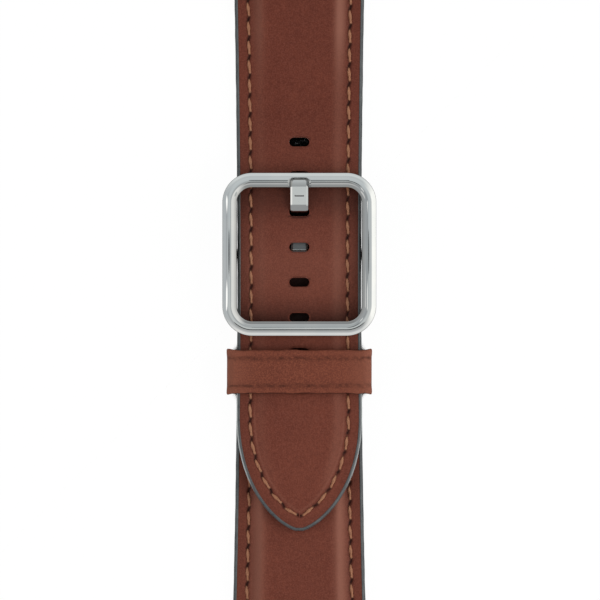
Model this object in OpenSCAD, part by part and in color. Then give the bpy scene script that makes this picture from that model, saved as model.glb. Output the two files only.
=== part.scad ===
// Leather watch strap, two pieces, fastened with a centre-bar buckle and laid flat.
// X runs across the strap, Y along it and Z up. The strap lies on Z = 0, and the
// buckle bar stands over the origin. The long piece runs to +Y, the short one to -Y.

/* [Strap] */
// Width of both pieces at the buckle bar, edge coat included
buckle_end_w = 21.7; // [20:0.1:24]
// Width of both pieces at the watch lugs, edge coat included
lug_end_w = 24; // [22:0.5:26]
// Short piece, lug bar to buckle bar
short_l = 75; // [72:1:90]
// Long piece, lug bar to tail tip
long_l = 123.25; // [119.25:1:135.25]
// Length of the pointed tail
tail_l = 20.5; // [16:0.5:22]
// Thickness of the top leather
top_t = 1; // [0.8:0.05:1.2]
// Thickness of the lining leather
lining_t = 0.8; // [0.7:0.05:1]
// Thickness of the leather where it is pared down to loop round a bar
loop_t = 0.8; // [0.7:0.05:0.9]
// Height that the padding adds near the lugs
pad_h = 1.7; // [0.8:0.1:2.2]
// Thickness of the painted coat on the cut edges
coat_t = 0.35; // [0.2:0.05:0.5]
// Thickness of the tape that keeps the holes from stretching
tape_t = 0.2; // [0.1:0.05:0.3]

/* [Holes] */
// Number of holes in the long piece
hole_count = 8; // [7:1:8]
// Distance from one hole to the next
hole_pitch = 6.15; // [5.5:0.05:6.5]
// Length of a hole across the strap
hole_l = 3.45; // [3.4:0.05:4]
// Width of a hole along the strap
hole_w = 1.5; // [1.5:0.05:1.8]
// Distance from the tail tip to the first hole
tip_to_hole = 24.85; // [23.5:0.05:26]
// Which hole the tongue is in, counted from the tail tip
used_hole = 6; // [5:1:7]

/* [Stitching] */
// Distance between stitches
stitch_pitch = 3.36; // [3:0.02:4]
// Length of thread that shows in one stitch
stitch_l = 2.5; // [2:0.05:2.7]
// Thickness of the thread
thread_d = 0.4; // [0.3:0.02:0.5]
// Distance from the leather's cut edge to the seam
seam_inset = 2.05; // [1.6:0.05:2.4]

/* [Buckle] */
// Length of the buckle frame along the strap
frame_l = 28.4; // [27.4:0.1:30]
// Width of the frame's rim seen from above
rim_w = 2.45; // [2.2:0.05:2.8]
// Height of the frame's rim
rim_h = 2.1; // [1.9:0.05:2.5]
// Outer corner radius of the frame
corner_r = 5.2; // [4.6:0.1:6]
// Rise of the frame's arch at its middle
arch_h = 0.7; // [0.3:0.1:1]
// Gap between the strap's edge and the frame at the bar
side_play = 0.15; // [0.1:0.05:0.3]
// Width of the tongue
tongue_w = 3.2; // [3:0.05:3.3]
// Thickness of the tongue
tongue_t = 0.95; // [0.85:0.05:1]
// Outer diameter of the buckle bar's tube
buckle_bar_d = 1.6; // [1.5:0.05:1.8]

/* [Keeper] */
// Width of the keeper along the strap
keeper_w = 7.6; // [5:0.1:9]
// Thickness of the keeper's leather
keeper_t = 1.25; // [1:0.05:1.4]
// Gap between the buckle frame and the keeper
keeper_gap = 2.6; // [2:0.1:6]
// Thickness of the keeper's pared end between the layers
keeper_run_t = 0.36; // [0.25:0.01:0.45]

/* [Lug bars] */
// Outer diameter of a lug bar's tube
lug_bar_d = 1.8; // [1.5:0.1:1.8]
// Diameter of the bars' end pins
pin_d = 0.8; // [0.7:0.05:0.9]
// Length of pin that stands out beyond the strap at the lugs
lug_pin_l = 1; // [0.7:0.05:1.2]

/* [Hidden] */

// Clearances, all measured across one gap
glue = 0.03;
loop_fit = 0.05;
run_fit = 0.05;
lay_gap = 0.1;
bar_gap = 0.4;
slot_gap = 0.3;
keeper_play = 0.25;
edge_play = 0.45;

// Heights of the bars, with the loops of leather resting on the table
buckle_bore_r = buckle_bar_d / 2 + loop_fit;
buckle_bar_z = buckle_bore_r + loop_t;
lug_bore_r = lug_bar_d / 2 + loop_fit;
lug_bar_z = lug_bore_r + loop_t;

// How far a cut runs past the piece that it goes through, and the height of a through cut
over = 1;
cut_h = 40;

// Places along the strap
tongue_hole_y = 7.35;
tip_y = tongue_hole_y - (used_hole - 1) * hole_pitch - tip_to_hole;
long_bar_y = tip_y + long_l;
short_bar_y = -short_l;
lug_flap_l = 9;
buckle_flap_l = 9;
buckle_dip_l = 8;
ramp_start_y = 1;
ramp_end_y = 26;
pad_start = 26;
pad_full = 58;
lug_ease_l = 13;
nose_ease_l = 9;
tip_flat = 0.12;

// The tape under the holes, with its distances from the tail tip and the edges
tape_start = 15;
tape_lap = 2;
tape_margin = 5;
tape_rise_from = 5;
tape_rise_to = 12;

// The buckle frame and the keeper
inner_w = buckle_end_w + 2 * side_play;
outer_w = inner_w + 2 * rim_w;
inner_y = frame_l / 2 - rim_w;
keeper_y1 = -frame_l / 2 - keeper_gap;
keeper_y0 = keeper_y1 - keeper_w;

// Steps of the swept shapes
nose_steps = 10;
run_step = 2;
tail_steps = 12;
least_step = 0.5;
hair = 0.01;

function ease(a, b, y) = let (t = max(0, min(1, (y - a) / (b - a)))) t * t * (3 - 2 * t);

// How the width grows from the buckle to the lugs, later on the short piece
long_flare = 1.5;
short_flare = 2;

// Half width of the leather, without its edge coat
function half_w(y) = (buckle_end_w + (lug_end_w - buckle_end_w)
  * pow(min(1, abs(y) / short_l), y < 0 ? short_flare : long_flare)) / 2 - coat_t;

// The tail narrows to its tip in a pointed arch
tail_power = 2.2;
outline_power = 2 / 3;
seam_power = 0.72;
function tail_share(y, y0, power) = let (t = max(0, min(1, (y - y0) / (tip_y + tail_l - y0))))
  pow(1 - pow(1 - t, tail_power), power);
function long_half_w(y) = half_w(y) * tail_share(y, tip_y, outline_power);

// Height of the padding's crown in each piece, and its top in the middle of the strap
crown_top = 1.06;
function lug_crown(y, bar) = pad_h * ease(pad_start, pad_full, abs(y))
  * (1 - ease(abs(bar) - lug_ease_l, abs(bar), abs(y)));
function short_crown(y) = lug_crown(y, short_bar_y);
tape_lift = tape_t + 2 * glue;
function long_crown(y) = y > pad_start ? lug_crown(y, long_bar_y)
  + tape_lift * (1 - ease(long_bar_y - lug_ease_l, long_bar_y, y))
  : tape_lift * ease(tip_y + tape_rise_from, tip_y + tape_rise_to, y);

// The swept loops stay a little inside the bores, which are cut round afterwards
bore_share = 0.97;
function loop_in(r) = bore_share * r;
function loop_full_t(r) = loop_t + r - loop_in(r);

// Underside of each top leather at its margins, above the piece's own underside
layer_z = lining_t + glue;
function nose_lift(y, bar) = (lug_bar_z + loop_in(lug_bore_r) - layer_z)
  * ease(abs(bar) - nose_ease_l, abs(bar), abs(y));
function short_base(y) = layer_z + nose_lift(y, short_bar_y)
  + (buckle_bar_z + loop_in(buckle_bore_r) - layer_z) * ease(-buckle_dip_l, 0, y);
function short_t(y) = top_t
  + (loop_full_t(buckle_bore_r) - top_t) * ease(-buckle_dip_l, 0, y)
  + (loop_full_t(lug_bore_r) - top_t) * ease(short_l - nose_ease_l, short_l, -y);
function long_t(y) = top_t
  + (loop_full_t(lug_bore_r) - top_t) * ease(long_bar_y - nose_ease_l, long_bar_y, y);

// Underside of the long piece: on the table, up over the bar, then down on the short piece
crest_z = buckle_bar_z + buckle_bore_r + loop_t + lay_gap;
stitch_lift = thread_d + 2 * glue - lay_gap;
function long_under(y) = y > 0 ? crest_z * (1 - ease(ramp_start_y, ramp_end_y, y))
  : short_base(y) + short_t(y) + crown_top * short_crown(y) + lay_gap
    + stitch_lift * (1 - ease(keeper_y0, keeper_y1, y));
function long_base(y) = long_under(y) + layer_z + nose_lift(max(y, 0), long_bar_y);
function long_top(y) = long_base(y) + long_t(y) + crown_top * long_crown(y);

// Stations along the long piece, from the tail tip to the lug bar
long_ys = concat(
  [for (i = [0:tail_steps - 1])
    tip_y + tip_flat + (tail_l - tip_flat) * pow(i / tail_steps, 1.7)],
  let (y0 = tip_y + tail_l, n = ceil((ramp_end_y - y0) / run_step))
    [for (i = [0:n - 1]) y0 + (ramp_end_y - y0) * i / n],
  let (n = ceil((long_bar_y - ramp_end_y) / (2 * run_step)))
    [for (i = [0:n]) ramp_end_y + (long_bar_y - ramp_end_y) * i / n]);

// Stations along the short piece, from the lug bar to the buckle bar
short_ys = concat(
  let (y1 = keeper_y0, n = ceil((y1 - short_bar_y) / (1.6 * run_step)))
    [for (i = [0:n - 1]) short_bar_y + (y1 - short_bar_y) * i / n],
  let (n = ceil(-keeper_y0 / (0.7 * run_step)))
    [for (i = [0:n]) keeper_y0 - keeper_y0 * i / n]);

function flip(list) = [for (i = [len(list) - 1:-1:0]) list[i]];

// Half of the leather's section: distance in from the edge, and height on the crown
shoulder = [[0.3, 0], [2.7, 0], [3.6, 0.5], [4.5, 1]];
edge_drop = 0.15;
narrow_w = 4.8;

// Section of a top leather, across X and along the surface's own normal
function leather_section(w, t, c) = let (k = min(1, w / narrow_w), half = concat(
    [[w, t - edge_drop]], [for (p = shoulder) [w - p[0] * k, t + c * p[1]]]),
    inside = concat([[w, 0]], [for (p = shoulder) [w - p[0] * k, c * p[1]]]))
  concat([for (p = half) [-p[0], p[1]]], [[0, t + c * crown_top]], flip(half),
    inside, [[0, c * crown_top]], flip([for (p = inside) [-p[0], p[1]]]));

// One ring of a sweep: a section set at a place, with its height along the normal a
function ring(y, z, a, section) =
  [for (p = section) [p[0], y + p[1] * cos(a), z + p[1] * sin(a)]];

// The leather turning round a bar, and its flap under it. side is 1 or -1 along Y.
function turn_rings(bar, z, r, side) = [for (i = [1:nose_steps])
  let (a = 90 - side * 180 * i / nose_steps) ring(bar + loop_in(r) * cos(a),
    z + loop_in(r) * sin(a), a, leather_section(half_w(bar), loop_full_t(r), 0))];
function flap_rings(bar, z, r, side, l) = [for (share = [0.4, 1])
  let (y = bar - side * l * share)
  ring(y, z - loop_in(r), -90, leather_section(half_w(y), loop_full_t(r), 0))];

// Closes the end of a sweep, pairing each point of its ring with the one that faces it
function cap(n) = [for (i = [0:floor(n / 2) - 1]) let (j = n - 1 - i)
  each (i + 1 < j - 1 ? [[i, i + 1, j - 1], [i, j - 1, j]] : i + 1 < j ? [[i, i + 1, j]] : [])];

// Joins rings of equal length into one closed solid
module sweep(rings, loop = false) {
  n = len(rings[0]);
  m = len(rings);
  last = loop ? m - 1 : m - 2;
  sides = [for (i = [0:last], j = [0:n - 1]) let (a = i * n, b = ((i + 1) % m) * n,
      k = (j + 1) % n) each [[a + j, b + j, b + k], [a + j, b + k, a + k]]];
  caps = loop ? [] : concat(cap(n), [for (f = cap(n)) [for (j = flip(f)) (m - 1) * n + j]]);
  polyhedron([for (r = rings) each r], concat(sides, caps), 10);
}

function arc(x, y, r, a0, a1, n) =
  [for (i = [0:n]) [x + r * cos(a0 + (a1 - a0) * i / n), y + r * sin(a0 + (a1 - a0) * i / n)]];

// A round-ended slot through the long piece
module slot_cut() {
  r = hole_w / 2;
  x = hole_l / 2 - r;
  linear_extrude(cut_h, center = true)
    polygon(concat(arc(x, 0, r, -90, 90, 10), arc(-x, 0, r, 90, 270, 10)));
}

module holes() {
  for (i = [0:hole_count - 1])
    translate([0, tip_y + tip_to_hole + i * hole_pitch, 0]) slot_cut();
}

// A cylinder along X
module rod(r, x0, x1) {
  translate([x0, 0, 0]) rotate([0, 90, 0]) cylinder(r = r, h = x1 - x0, $fn = 48);
}

// The pocket that the keeper's pared end lies in
module keeper_pocket() {
  z = lining_t - keeper_run_t / 2 - glue;
  translate([-lug_end_w / 2, keeper_y0 - glue, z])
    cube([lug_end_w, keeper_w + 2 * glue, keeper_run_t + 2 * glue]);
}

// Long piece

module long_top_leather() {
  color("saddlebrown") difference() {
    sweep(concat(
      [for (y = long_ys) ring(y, long_base(y), 90,
        leather_section(long_half_w(y), long_t(y), long_crown(y)))],
      turn_rings(long_bar_y, lug_bar_z, lug_bore_r, 1),
      flap_rings(long_bar_y, lug_bar_z, lug_bore_r, 1, lug_flap_l)));
    holes();
    at_long_bar() rod(lug_bore_r, -lug_end_w, lug_end_w);
  }
}

function lining_ring(y, w, z) = [[-w, y, z], [-w, y, z + lining_t], [w, y, z + lining_t], [w, y, z]];

module long_lining() {
  end_y = long_bar_y - lug_flap_l - glue;
  ys = concat([for (y = long_ys) if (y < end_y - least_step) y], [end_y]);
  color("sienna") difference() {
    sweep([for (y = ys) lining_ring(y, long_half_w(y), long_under(y))]);
    holes();
  }
}

// Padding: a core under the crown, with a shelf that fills the rise to the lug bar
pad_inset = 2.9;
foot_inset = 3.05;
waist_inset = 3.65;
top_inset = 4.55;
shelf_l = 7.2;
pad_lead = 4;
pad_end_gap = 0.3;
shelf_steps = 4;
function pad_ring(y, half, w, lift, c) = let (z = layer_z, top = z + max(2 * hair, lift - 2 * glue),
    h = z + lift + c - 3 * glue, foot = w - foot_inset, waist = w - waist_inset, u = w - top_inset)
  [[-half, y, z], [-half, y, top], [-foot, y, top + hair], [-waist, y, h - c / 2],
   [-u, y, h], [u, y, h], [waist, y, h - c / 2], [foot, y, top + hair],
   [half, y, top], [half, y, z]];

module padding(bar, dir, crown) {
  end_d = lug_bore_r + loop_t + pad_end_gap;
  start_d = abs(bar) - pad_start - pad_lead;
  n = ceil((start_d - shelf_l) / (2 * run_step));
  inner_ds = [for (i = [0:n]) start_d + (shelf_l - start_d) * i / n];
  shelf_ds = [for (i = [0:shelf_steps]) shelf_l - hair + (end_d - shelf_l) * i / shelf_steps];
  rings = [for (d = concat(inner_ds, shelf_ds)) let (y = bar - dir * d, w = half_w(y))
    pad_ring(y, d < shelf_l - hair / 2 ? w - glue : w - pad_inset, w, nose_lift(y, bar), crown(y))];
  color("tan") sweep(dir > 0 ? rings : flip(rings));
}

module long_padding() {
  padding(long_bar_y, 1, function (y) long_crown(y));
}

module hole_tape() {
  y0 = tip_y + tape_start;
  y1 = pad_start + tape_lap;
  w = half_w(0) - tape_margin;
  ys = concat([y0], [for (y = long_ys) if (y > y0 + least_step && y < y1 - least_step) y], [y1]);
  color("ivory") difference() {
    sweep([for (y = ys) let (z = long_under(y) + layer_z)
      [[-w, y, z], [-w, y, z + tape_t], [w, y, z + tape_t], [w, y, z]]]);
    holes();
  }
}

// Edge coat: a domed bead along the cut edges, lying against every layer
bead_x = 0.7 * coat_t;
bead_h = 0.12;
function coat_ring(p, n, z0, z1) = [for (q = [[glue, z1], [bead_x, z1 - bead_h],
    [coat_t, (z0 + z1) / 2], [bead_x, z0 + bead_h], [glue, z0]])
  [p[0] + n[0] * q[0], p[1] + n[1] * q[0], q[1]]];
function across(p) = let (l = norm(p)) [p[1] / l, -p[0] / l];
function coat_rings(path, low, high) = [for (i = [0:len(path) - 1])
  let (a = path[max(0, i - 1)], b = path[min(len(path) - 1, i + 1)], y = path[i][1])
  coat_ring(path[i], across(b - a), low(y), high(y))];

module long_edge_coat() {
  right = [for (y = flip(long_ys)) [long_half_w(y), y]];
  left = [for (y = long_ys) [-long_half_w(y), y]];
  color("slategray") difference() {
    sweep(coat_rings(concat(flip(left), flip(right)),
      function (y) long_under(y), function (y) long_base(y) + long_t(y) - edge_drop));
    at_long_bar() rod(lug_bore_r, -lug_end_w, lug_end_w);
  }
}

// Stitches: short lengths of thread that lie on the margins, evenly spaced along a seam
seam_tip_y = tip_y + 2.5;
seam_end_l = 4;
seam_keeper_gap = 0.4;
function seam_half_w(y) = (half_w(y) - seam_inset) * tail_share(y, seam_tip_y, seam_power);

module seam(y0, y1, half_at, height_at) {
  steps = 150;
  crowding = 1.6;
  function y_at(i) = y0 + (y1 - y0) * pow(i / steps, crowding);
  function point_at(i) = [half_at(y_at(i)), y_at(i)];
  lengths = [for (i = 0, l = 0; i <= steps; l = l + norm(point_at(i + 1) - point_at(i)), i = i + 1)
    [l, y_at(i)]];
  n = floor(lengths[steps][0] / stitch_pitch);
  for (i = [0:n - 1], side = [-1, 1]) {
    l = (i + 0.5) * stitch_pitch;
    ya = lookup(l - stitch_l / 2, lengths);
    yb = lookup(l + stitch_l / 2, lengths);
    a = [side * half_at(ya), ya, height_at(ya)];
    b = [side * half_at(yb), yb, height_at(yb)];
    y = lookup(l, lengths);
    d = b - a;
    lift = max(0, height_at(y) - (a[2] + b[2]) / 2) + thread_d / 2 + glue;
    translate((a + b) / 2 + [0, 0, lift])
      rotate([atan2(d[2], norm([d[0], d[1]])), 0, -atan2(d[0], d[1])])
        rotate([90, 0, 0]) cylinder(d = thread_d, h = stitch_l, center = true, $fn = 16);
  }
}

module long_stitching() {
  color("peru") seam(seam_tip_y, long_bar_y - seam_end_l, function (y) seam_half_w(y),
    function (y) long_base(y) + long_t(y));
}

// Short piece

tongue_slot = tongue_w + 2 * slot_gap;
tongue_slot_y = -3.4;

module short_top_leather() {
  color("saddlebrown") difference() {
    sweep(concat(
      flip(flap_rings(short_bar_y, lug_bar_z, lug_bore_r, -1, lug_flap_l)),
      flip(turn_rings(short_bar_y, lug_bar_z, lug_bore_r, -1)),
      [for (y = short_ys) ring(y, short_base(y), 90,
        leather_section(half_w(y), short_t(y), short_crown(y)))],
      turn_rings(0, buckle_bar_z, buckle_bore_r, 1),
      flap_rings(0, buckle_bar_z, buckle_bore_r, 1, buckle_flap_l)));
    at_short_bar() rod(lug_bore_r, -lug_end_w, lug_end_w);
    at_buckle_bar() rod(buckle_bore_r, -lug_end_w, lug_end_w);
    translate([-tongue_slot / 2, tongue_slot_y, -over])
      cube([tongue_slot, buckle_flap_l, cut_h]);
    keeper_pocket();
  }
}

module short_lining() {
  y0 = short_bar_y + lug_flap_l + glue;
  y1 = -buckle_flap_l - glue;
  ys = concat([y0], [for (y = short_ys) if (y > y0 + least_step && y < y1 - least_step) y], [y1]);
  color("sienna") difference() {
    sweep([for (y = ys) lining_ring(y, half_w(y), 0)]);
    keeper_pocket();
  }
}

module short_padding() {
  padding(short_bar_y, -1, function (y) short_crown(y));
}

module short_edge_coat() {
  ys = [for (y = short_ys) if (y < -buckle_dip_l / 4) y];
  low = function (y) 0;
  high = function (y) short_base(y) + short_t(y) - edge_drop;
  color("slategray") difference() {
    for (side = [0, 1]) mirror([side, 0, 0])
      sweep(coat_rings([for (y = ys) [half_w(y), y]], low, high));
    keeper_pocket();
    at_short_bar() rod(lug_bore_r, -lug_end_w, lug_end_w);
  }
}

module short_stitching() {
  color("peru") seam(short_bar_y + seam_end_l, keeper_y0 - seam_keeper_gap,
    function (y) half_w(y) - seam_inset, function (y) short_base(y) + short_t(y));
}

// Keeper: one closed band, its pared end run between the short piece's layers
keeper_half = half_w(keeper_y0) + coat_t + edge_play;
keeper_in_z = long_base(keeper_y0) + long_t(keeper_y0) + thread_d + glue + keeper_play;
keeper_run_z = lining_t - keeper_run_t / 2;
keeper_r = 1.6;
keeper_low_r = 0.9;
keeper_in_r = 0.6;
keeper_in_low_r = 0.3;

// Outline of a box with rounded corners, low corners first
function round_box(w, z0, z1, r0, r1) = concat(arc(w - r0, z0 + r0, r0, -90, 0, 5),
  arc(w - r1, z1 - r1, r1, 0, 90, 8), arc(r1 - w, z1 - r1, r1, 90, 180, 8),
  arc(r0 - w, z0 + r0, r0, 180, 270, 5));

module keeper() {
  color("saddlebrown") translate([0, keeper_y1, 0]) rotate([90, 0, 0]) linear_extrude(keeper_w)
    difference() {
      polygon(round_box(keeper_half + keeper_t, keeper_run_z, keeper_in_z + keeper_t,
        keeper_low_r, keeper_r));
      polygon(round_box(keeper_half, keeper_run_z + keeper_run_t, keeper_in_z,
        keeper_in_low_r, keeper_in_r));
    }
}

// Buckle frame: a rounded square rim, arched along the strap, with an ear for each bar end
frame_z = max(long_base(-inner_y) + long_t(-inner_y), long_base(inner_y) + long_t(inner_y))
  + thread_d + glue + bar_gap;
seat_h = 0.85;
seat_z = frame_z + seat_h;
notch_w = 4.05;
notch_l = 1.7;
notch_r = 1.1;
pin_hole_l = 1.6;
ear_r = 1.35;
ear_half_l = 4;
ear_sink = 0.5;
ear_set_in = 0.05;
ear_w = rim_w - 0.5;

// The rim's section, in from its outer edge and up: a flat top, a ridge and an inner bevel
rim_round = 0.35;
ridge_x = 1.45;
bevel_h = 0.55;
rim_side_h = 0.8;
crest_x = 0.45;
crest_drop = 0.2;
outer_drop = 0.65;
rim_section = [[rim_w - rim_round, 0], [rim_w, rim_round], [rim_w, rim_h - rim_side_h],
  [rim_w - 0.1, rim_h - bevel_h], [ridge_x, rim_h], [crest_x, rim_h - crest_drop],
  [0, rim_h - outer_drop], [0, rim_round], [rim_round, 0]];

// Places round the rim's outer edge, each with the direction that points outwards
function rim_path() = let (x = outer_w / 2, y = frame_l / 2, r = corner_r, n = 8)
  [for (q = [0:3]) let (long_side = q % 2 == 0, reach = (long_side ? y : x) - r,
      out = long_side ? x : y) each concat(
    [for (i = [0:n - 1]) let (s = -reach + 2 * reach * i / n) turn_point(out, s, 0, q)],
    [for (i = [0:n - 1]) turn_point(out - r + r * cos(90 * i / n), reach + r * sin(90 * i / n),
      90 * i / n, q)])];
function turn_point(u, v, a, q) = let (t = 90 * q)
  [u * cos(t) - v * sin(t), u * sin(t) + v * cos(t), a + t];
function arch_z(y) = arch_h * (1 - pow(2 * y / frame_l, 2));

module buckle_frame() {
  rings = [for (p = rim_path()) [for (q = rim_section) let (x = p[0] - q[0] * cos(p[2]),
    y = p[1] - q[0] * sin(p[2])) [x, y, frame_z + q[1] + arch_z(y)]]];
  ear_top = frame_z + arch_h + ear_sink;
  color("silver") difference() {
    union() {
      sweep(rings, true);
      for (side = [0, 1]) mirror([side, 0, 0]) translate([inner_w / 2 + ear_set_in, 0, 0])
        rotate([90, 0, 90]) linear_extrude(ear_w)
          polygon(concat([[-ear_half_l, ear_top]], arc(0, buckle_bar_z, ear_r, 205, 335, 12),
            [[ear_half_l, ear_top]]));
    }
    for (side = [0, 1]) mirror([side, 0, 0]) translate([0, 0, buckle_bar_z])
      rod(pin_d / 2 + run_fit, inner_w / 2 - over, inner_w / 2 + pin_hole_l);
    translate([0, inner_y + notch_l, seat_z]) linear_extrude(rim_h + arch_h)
      polygon(concat([[notch_w / 2, -notch_l - over]],
        arc(notch_w / 2 - notch_r, -notch_r, notch_r, 0, 90, 6),
        arc(notch_r - notch_w / 2, -notch_r, notch_r, 90, 180, 6),
        [[-notch_w / 2, -notch_l - over]]));
  }
}

// Tongue: a barrel on the bar, a low arm, a riser through the hole and a flat upper arm
barrel_r = 1.55;
barrel_half_l = 1.5;
riser_back = 0.37;
riser_play = 0.85;
riser_y0 = tongue_hole_y - riser_back;
riser_w = hole_l - riser_play;
bend_r = 0.3;
arm_gap = 0.25;
arm_z = long_top(riser_y0 + 1) + arm_gap;
end_gap = 0.25;
tongue_end_y = inner_y + notch_l - end_gap;
seat_gap = 0.03;
end_t = 0.6;
end_r = 1;
flare_l = 0.45;
groove_l = 1.5;
groove_w = 0.25;
groove_y = 2.9;

module buckle_tongue() {
  t = tongue_t;
  low = buckle_bar_z - t / 2;
  c2 = [riser_y0 + t + bend_r, arm_z - bend_r];
  side_view = concat([[0, low]], arc(riser_y0 - bend_r, low + t + bend_r, t + bend_r, -90, 0, 6),
    arc(c2[0], c2[1], bend_r, 180, 90, 4), [[inner_y - end_gap, seat_z + seat_gap],
    [tongue_end_y, seat_z + seat_gap], [tongue_end_y, seat_z + seat_gap + end_t],
    [inner_y, seat_z + seat_gap + t]], arc(c2[0], c2[1], t + bend_r, 90, 180, 8),
    arc(riser_y0 - bend_r, low + t + bend_r, bend_r, 0, -90, 4), [[0, low + t]]);
  half_plan = concat([[barrel_half_l, 0], [barrel_half_l, riser_y0 - end_gap - flare_l],
    [riser_w / 2, riser_y0 - end_gap], [riser_w / 2, riser_y0 + t + end_gap],
    [tongue_w / 2, riser_y0 + t + end_gap + flare_l]],
    arc(tongue_w / 2 - end_r, tongue_end_y - end_r, end_r, 0, 90, 6));
  color("silver") difference() {
    union() {
      intersection() {
        translate([-tongue_w, 0, 0]) rotate([90, 0, 90]) linear_extrude(2 * tongue_w)
          polygon(side_view);
        linear_extrude(cut_h) polygon(concat(half_plan, [for (p = flip(half_plan)) [-p[0], p[1]]]));
      }
      translate([0, 0, buckle_bar_z]) rod(barrel_r, -barrel_half_l, barrel_half_l);
    }
    translate([0, 0, buckle_bar_z]) rod(buckle_bar_d / 2 + run_fit, -tongue_w, tongue_w);
    translate([-groove_l / 2, riser_y0 + groove_y, seat_z + t - groove_w])
      cube([groove_l, groove_w, over]);
  }
}

// Bars: a tube with a sprung, shouldered tip in each end
tube_wall = 0.25;
collar_l = 0.35;
collar_gap = 0.1;
collar_step = 0.1;
collar_inset = 0.15;
stem_l = 2.2;
spring_wall = 0.2;
lug_travel = lug_pin_l + collar_inset;
buckle_pin_l = 1.4;
buckle_travel = buckle_pin_l + run_fit;
lug_collar_x = lug_end_w / 2 - collar_inset;
buckle_collar_x = inner_w / 2 - collar_gap;

// Half length of a tube that leaves its tips room to travel
function tube_half(collar_x, travel) = collar_x - collar_l - travel - collar_gap;
function stem_x(collar_x, travel) = tube_half(collar_x, travel) - stem_l;

module bar_tube(d, collar_x, travel) {
  half = tube_half(collar_x, travel);
  color("gainsboro") difference() {
    rod(d / 2, -half, half);
    rod(d / 2 - tube_wall, -half - over, half + over);
  }
}

module bar_tip(d, collar_x, travel, end_x) {
  color("gainsboro") {
    rod(d / 2 - tube_wall - run_fit, stem_x(collar_x, travel), collar_x - collar_l);
    rod(d / 2 - collar_step, collar_x - collar_l, collar_x);
    rod(pin_d / 2, collar_x, end_x);
  }
}

module bar_spring(d, collar_x, travel) {
  half = stem_x(collar_x, travel) - glue;
  r = d / 2 - tube_wall - run_fit;
  color("dimgray") difference() {
    rod(r, -half, half);
    rod(r - spring_wall, -half - over, half + over);
  }
}

module at_buckle_bar() {
  translate([0, 0, buckle_bar_z]) children();
}
module at_long_bar() {
  translate([0, long_bar_y, lug_bar_z]) children();
}
module at_short_bar() {
  translate([0, short_bar_y, lug_bar_z]) children();
}

module buckle_bar_tube() {
  at_buckle_bar() bar_tube(buckle_bar_d, buckle_collar_x, buckle_travel);
}
module buckle_bar_spring() {
  at_buckle_bar() bar_spring(buckle_bar_d, buckle_collar_x, buckle_travel);
}
module buckle_bar_right_tip() {
  at_buckle_bar() bar_tip(buckle_bar_d, buckle_collar_x, buckle_travel, inner_w / 2 + buckle_pin_l);
}
module buckle_bar_left_tip() {
  mirror([1, 0, 0]) buckle_bar_right_tip();
}
module lug_tube() {
  bar_tube(lug_bar_d, lug_collar_x, lug_travel);
}
module lug_spring() {
  bar_spring(lug_bar_d, lug_collar_x, lug_travel);
}
module lug_tip() {
  bar_tip(lug_bar_d, lug_collar_x, lug_travel, lug_end_w / 2 + lug_pin_l);
}
module long_bar_tube() {
  at_long_bar() lug_tube();
}
module long_bar_spring() {
  at_long_bar() lug_spring();
}
module long_bar_left_tip() {
  at_long_bar() mirror([1, 0, 0]) lug_tip();
}
module long_bar_right_tip() {
  at_long_bar() lug_tip();
}
module short_bar_tube() {
  at_short_bar() lug_tube();
}
module short_bar_spring() {
  at_short_bar() lug_spring();
}
module short_bar_left_tip() {
  at_short_bar() mirror([1, 0, 0]) lug_tip();
}
module short_bar_right_tip() {
  at_short_bar() lug_tip();
}

long_top_leather();
long_lining();
long_padding();
hole_tape();
long_edge_coat();
long_stitching();
short_top_leather();
short_lining();
short_padding();
short_edge_coat();
short_stitching();
keeper();
buckle_frame();
buckle_tongue();
buckle_bar_tube();
buckle_bar_spring();
buckle_bar_left_tip();
buckle_bar_right_tip();
long_bar_tube();
long_bar_spring();
long_bar_left_tip();
long_bar_right_tip();
short_bar_tube();
short_bar_spring();
short_bar_left_tip();
short_bar_right_tip();
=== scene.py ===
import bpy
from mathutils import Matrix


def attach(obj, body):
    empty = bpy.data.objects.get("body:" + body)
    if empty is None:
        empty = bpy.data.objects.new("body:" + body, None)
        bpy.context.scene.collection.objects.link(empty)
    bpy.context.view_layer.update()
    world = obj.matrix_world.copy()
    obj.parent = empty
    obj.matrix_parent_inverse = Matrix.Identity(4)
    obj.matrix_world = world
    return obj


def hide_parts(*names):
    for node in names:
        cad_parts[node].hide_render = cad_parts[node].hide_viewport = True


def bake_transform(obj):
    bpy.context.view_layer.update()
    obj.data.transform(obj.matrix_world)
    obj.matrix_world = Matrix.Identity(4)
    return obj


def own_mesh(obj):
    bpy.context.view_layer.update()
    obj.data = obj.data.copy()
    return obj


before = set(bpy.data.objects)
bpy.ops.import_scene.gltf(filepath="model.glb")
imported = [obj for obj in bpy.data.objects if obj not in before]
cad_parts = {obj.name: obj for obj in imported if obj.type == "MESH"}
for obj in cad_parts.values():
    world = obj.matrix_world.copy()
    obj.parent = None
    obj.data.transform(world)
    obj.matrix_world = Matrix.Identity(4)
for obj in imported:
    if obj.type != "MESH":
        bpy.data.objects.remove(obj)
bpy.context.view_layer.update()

import math

import bmesh
import bpy
from mathutils import Euler, Matrix, Vector, noise

mm = 0.001

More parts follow.
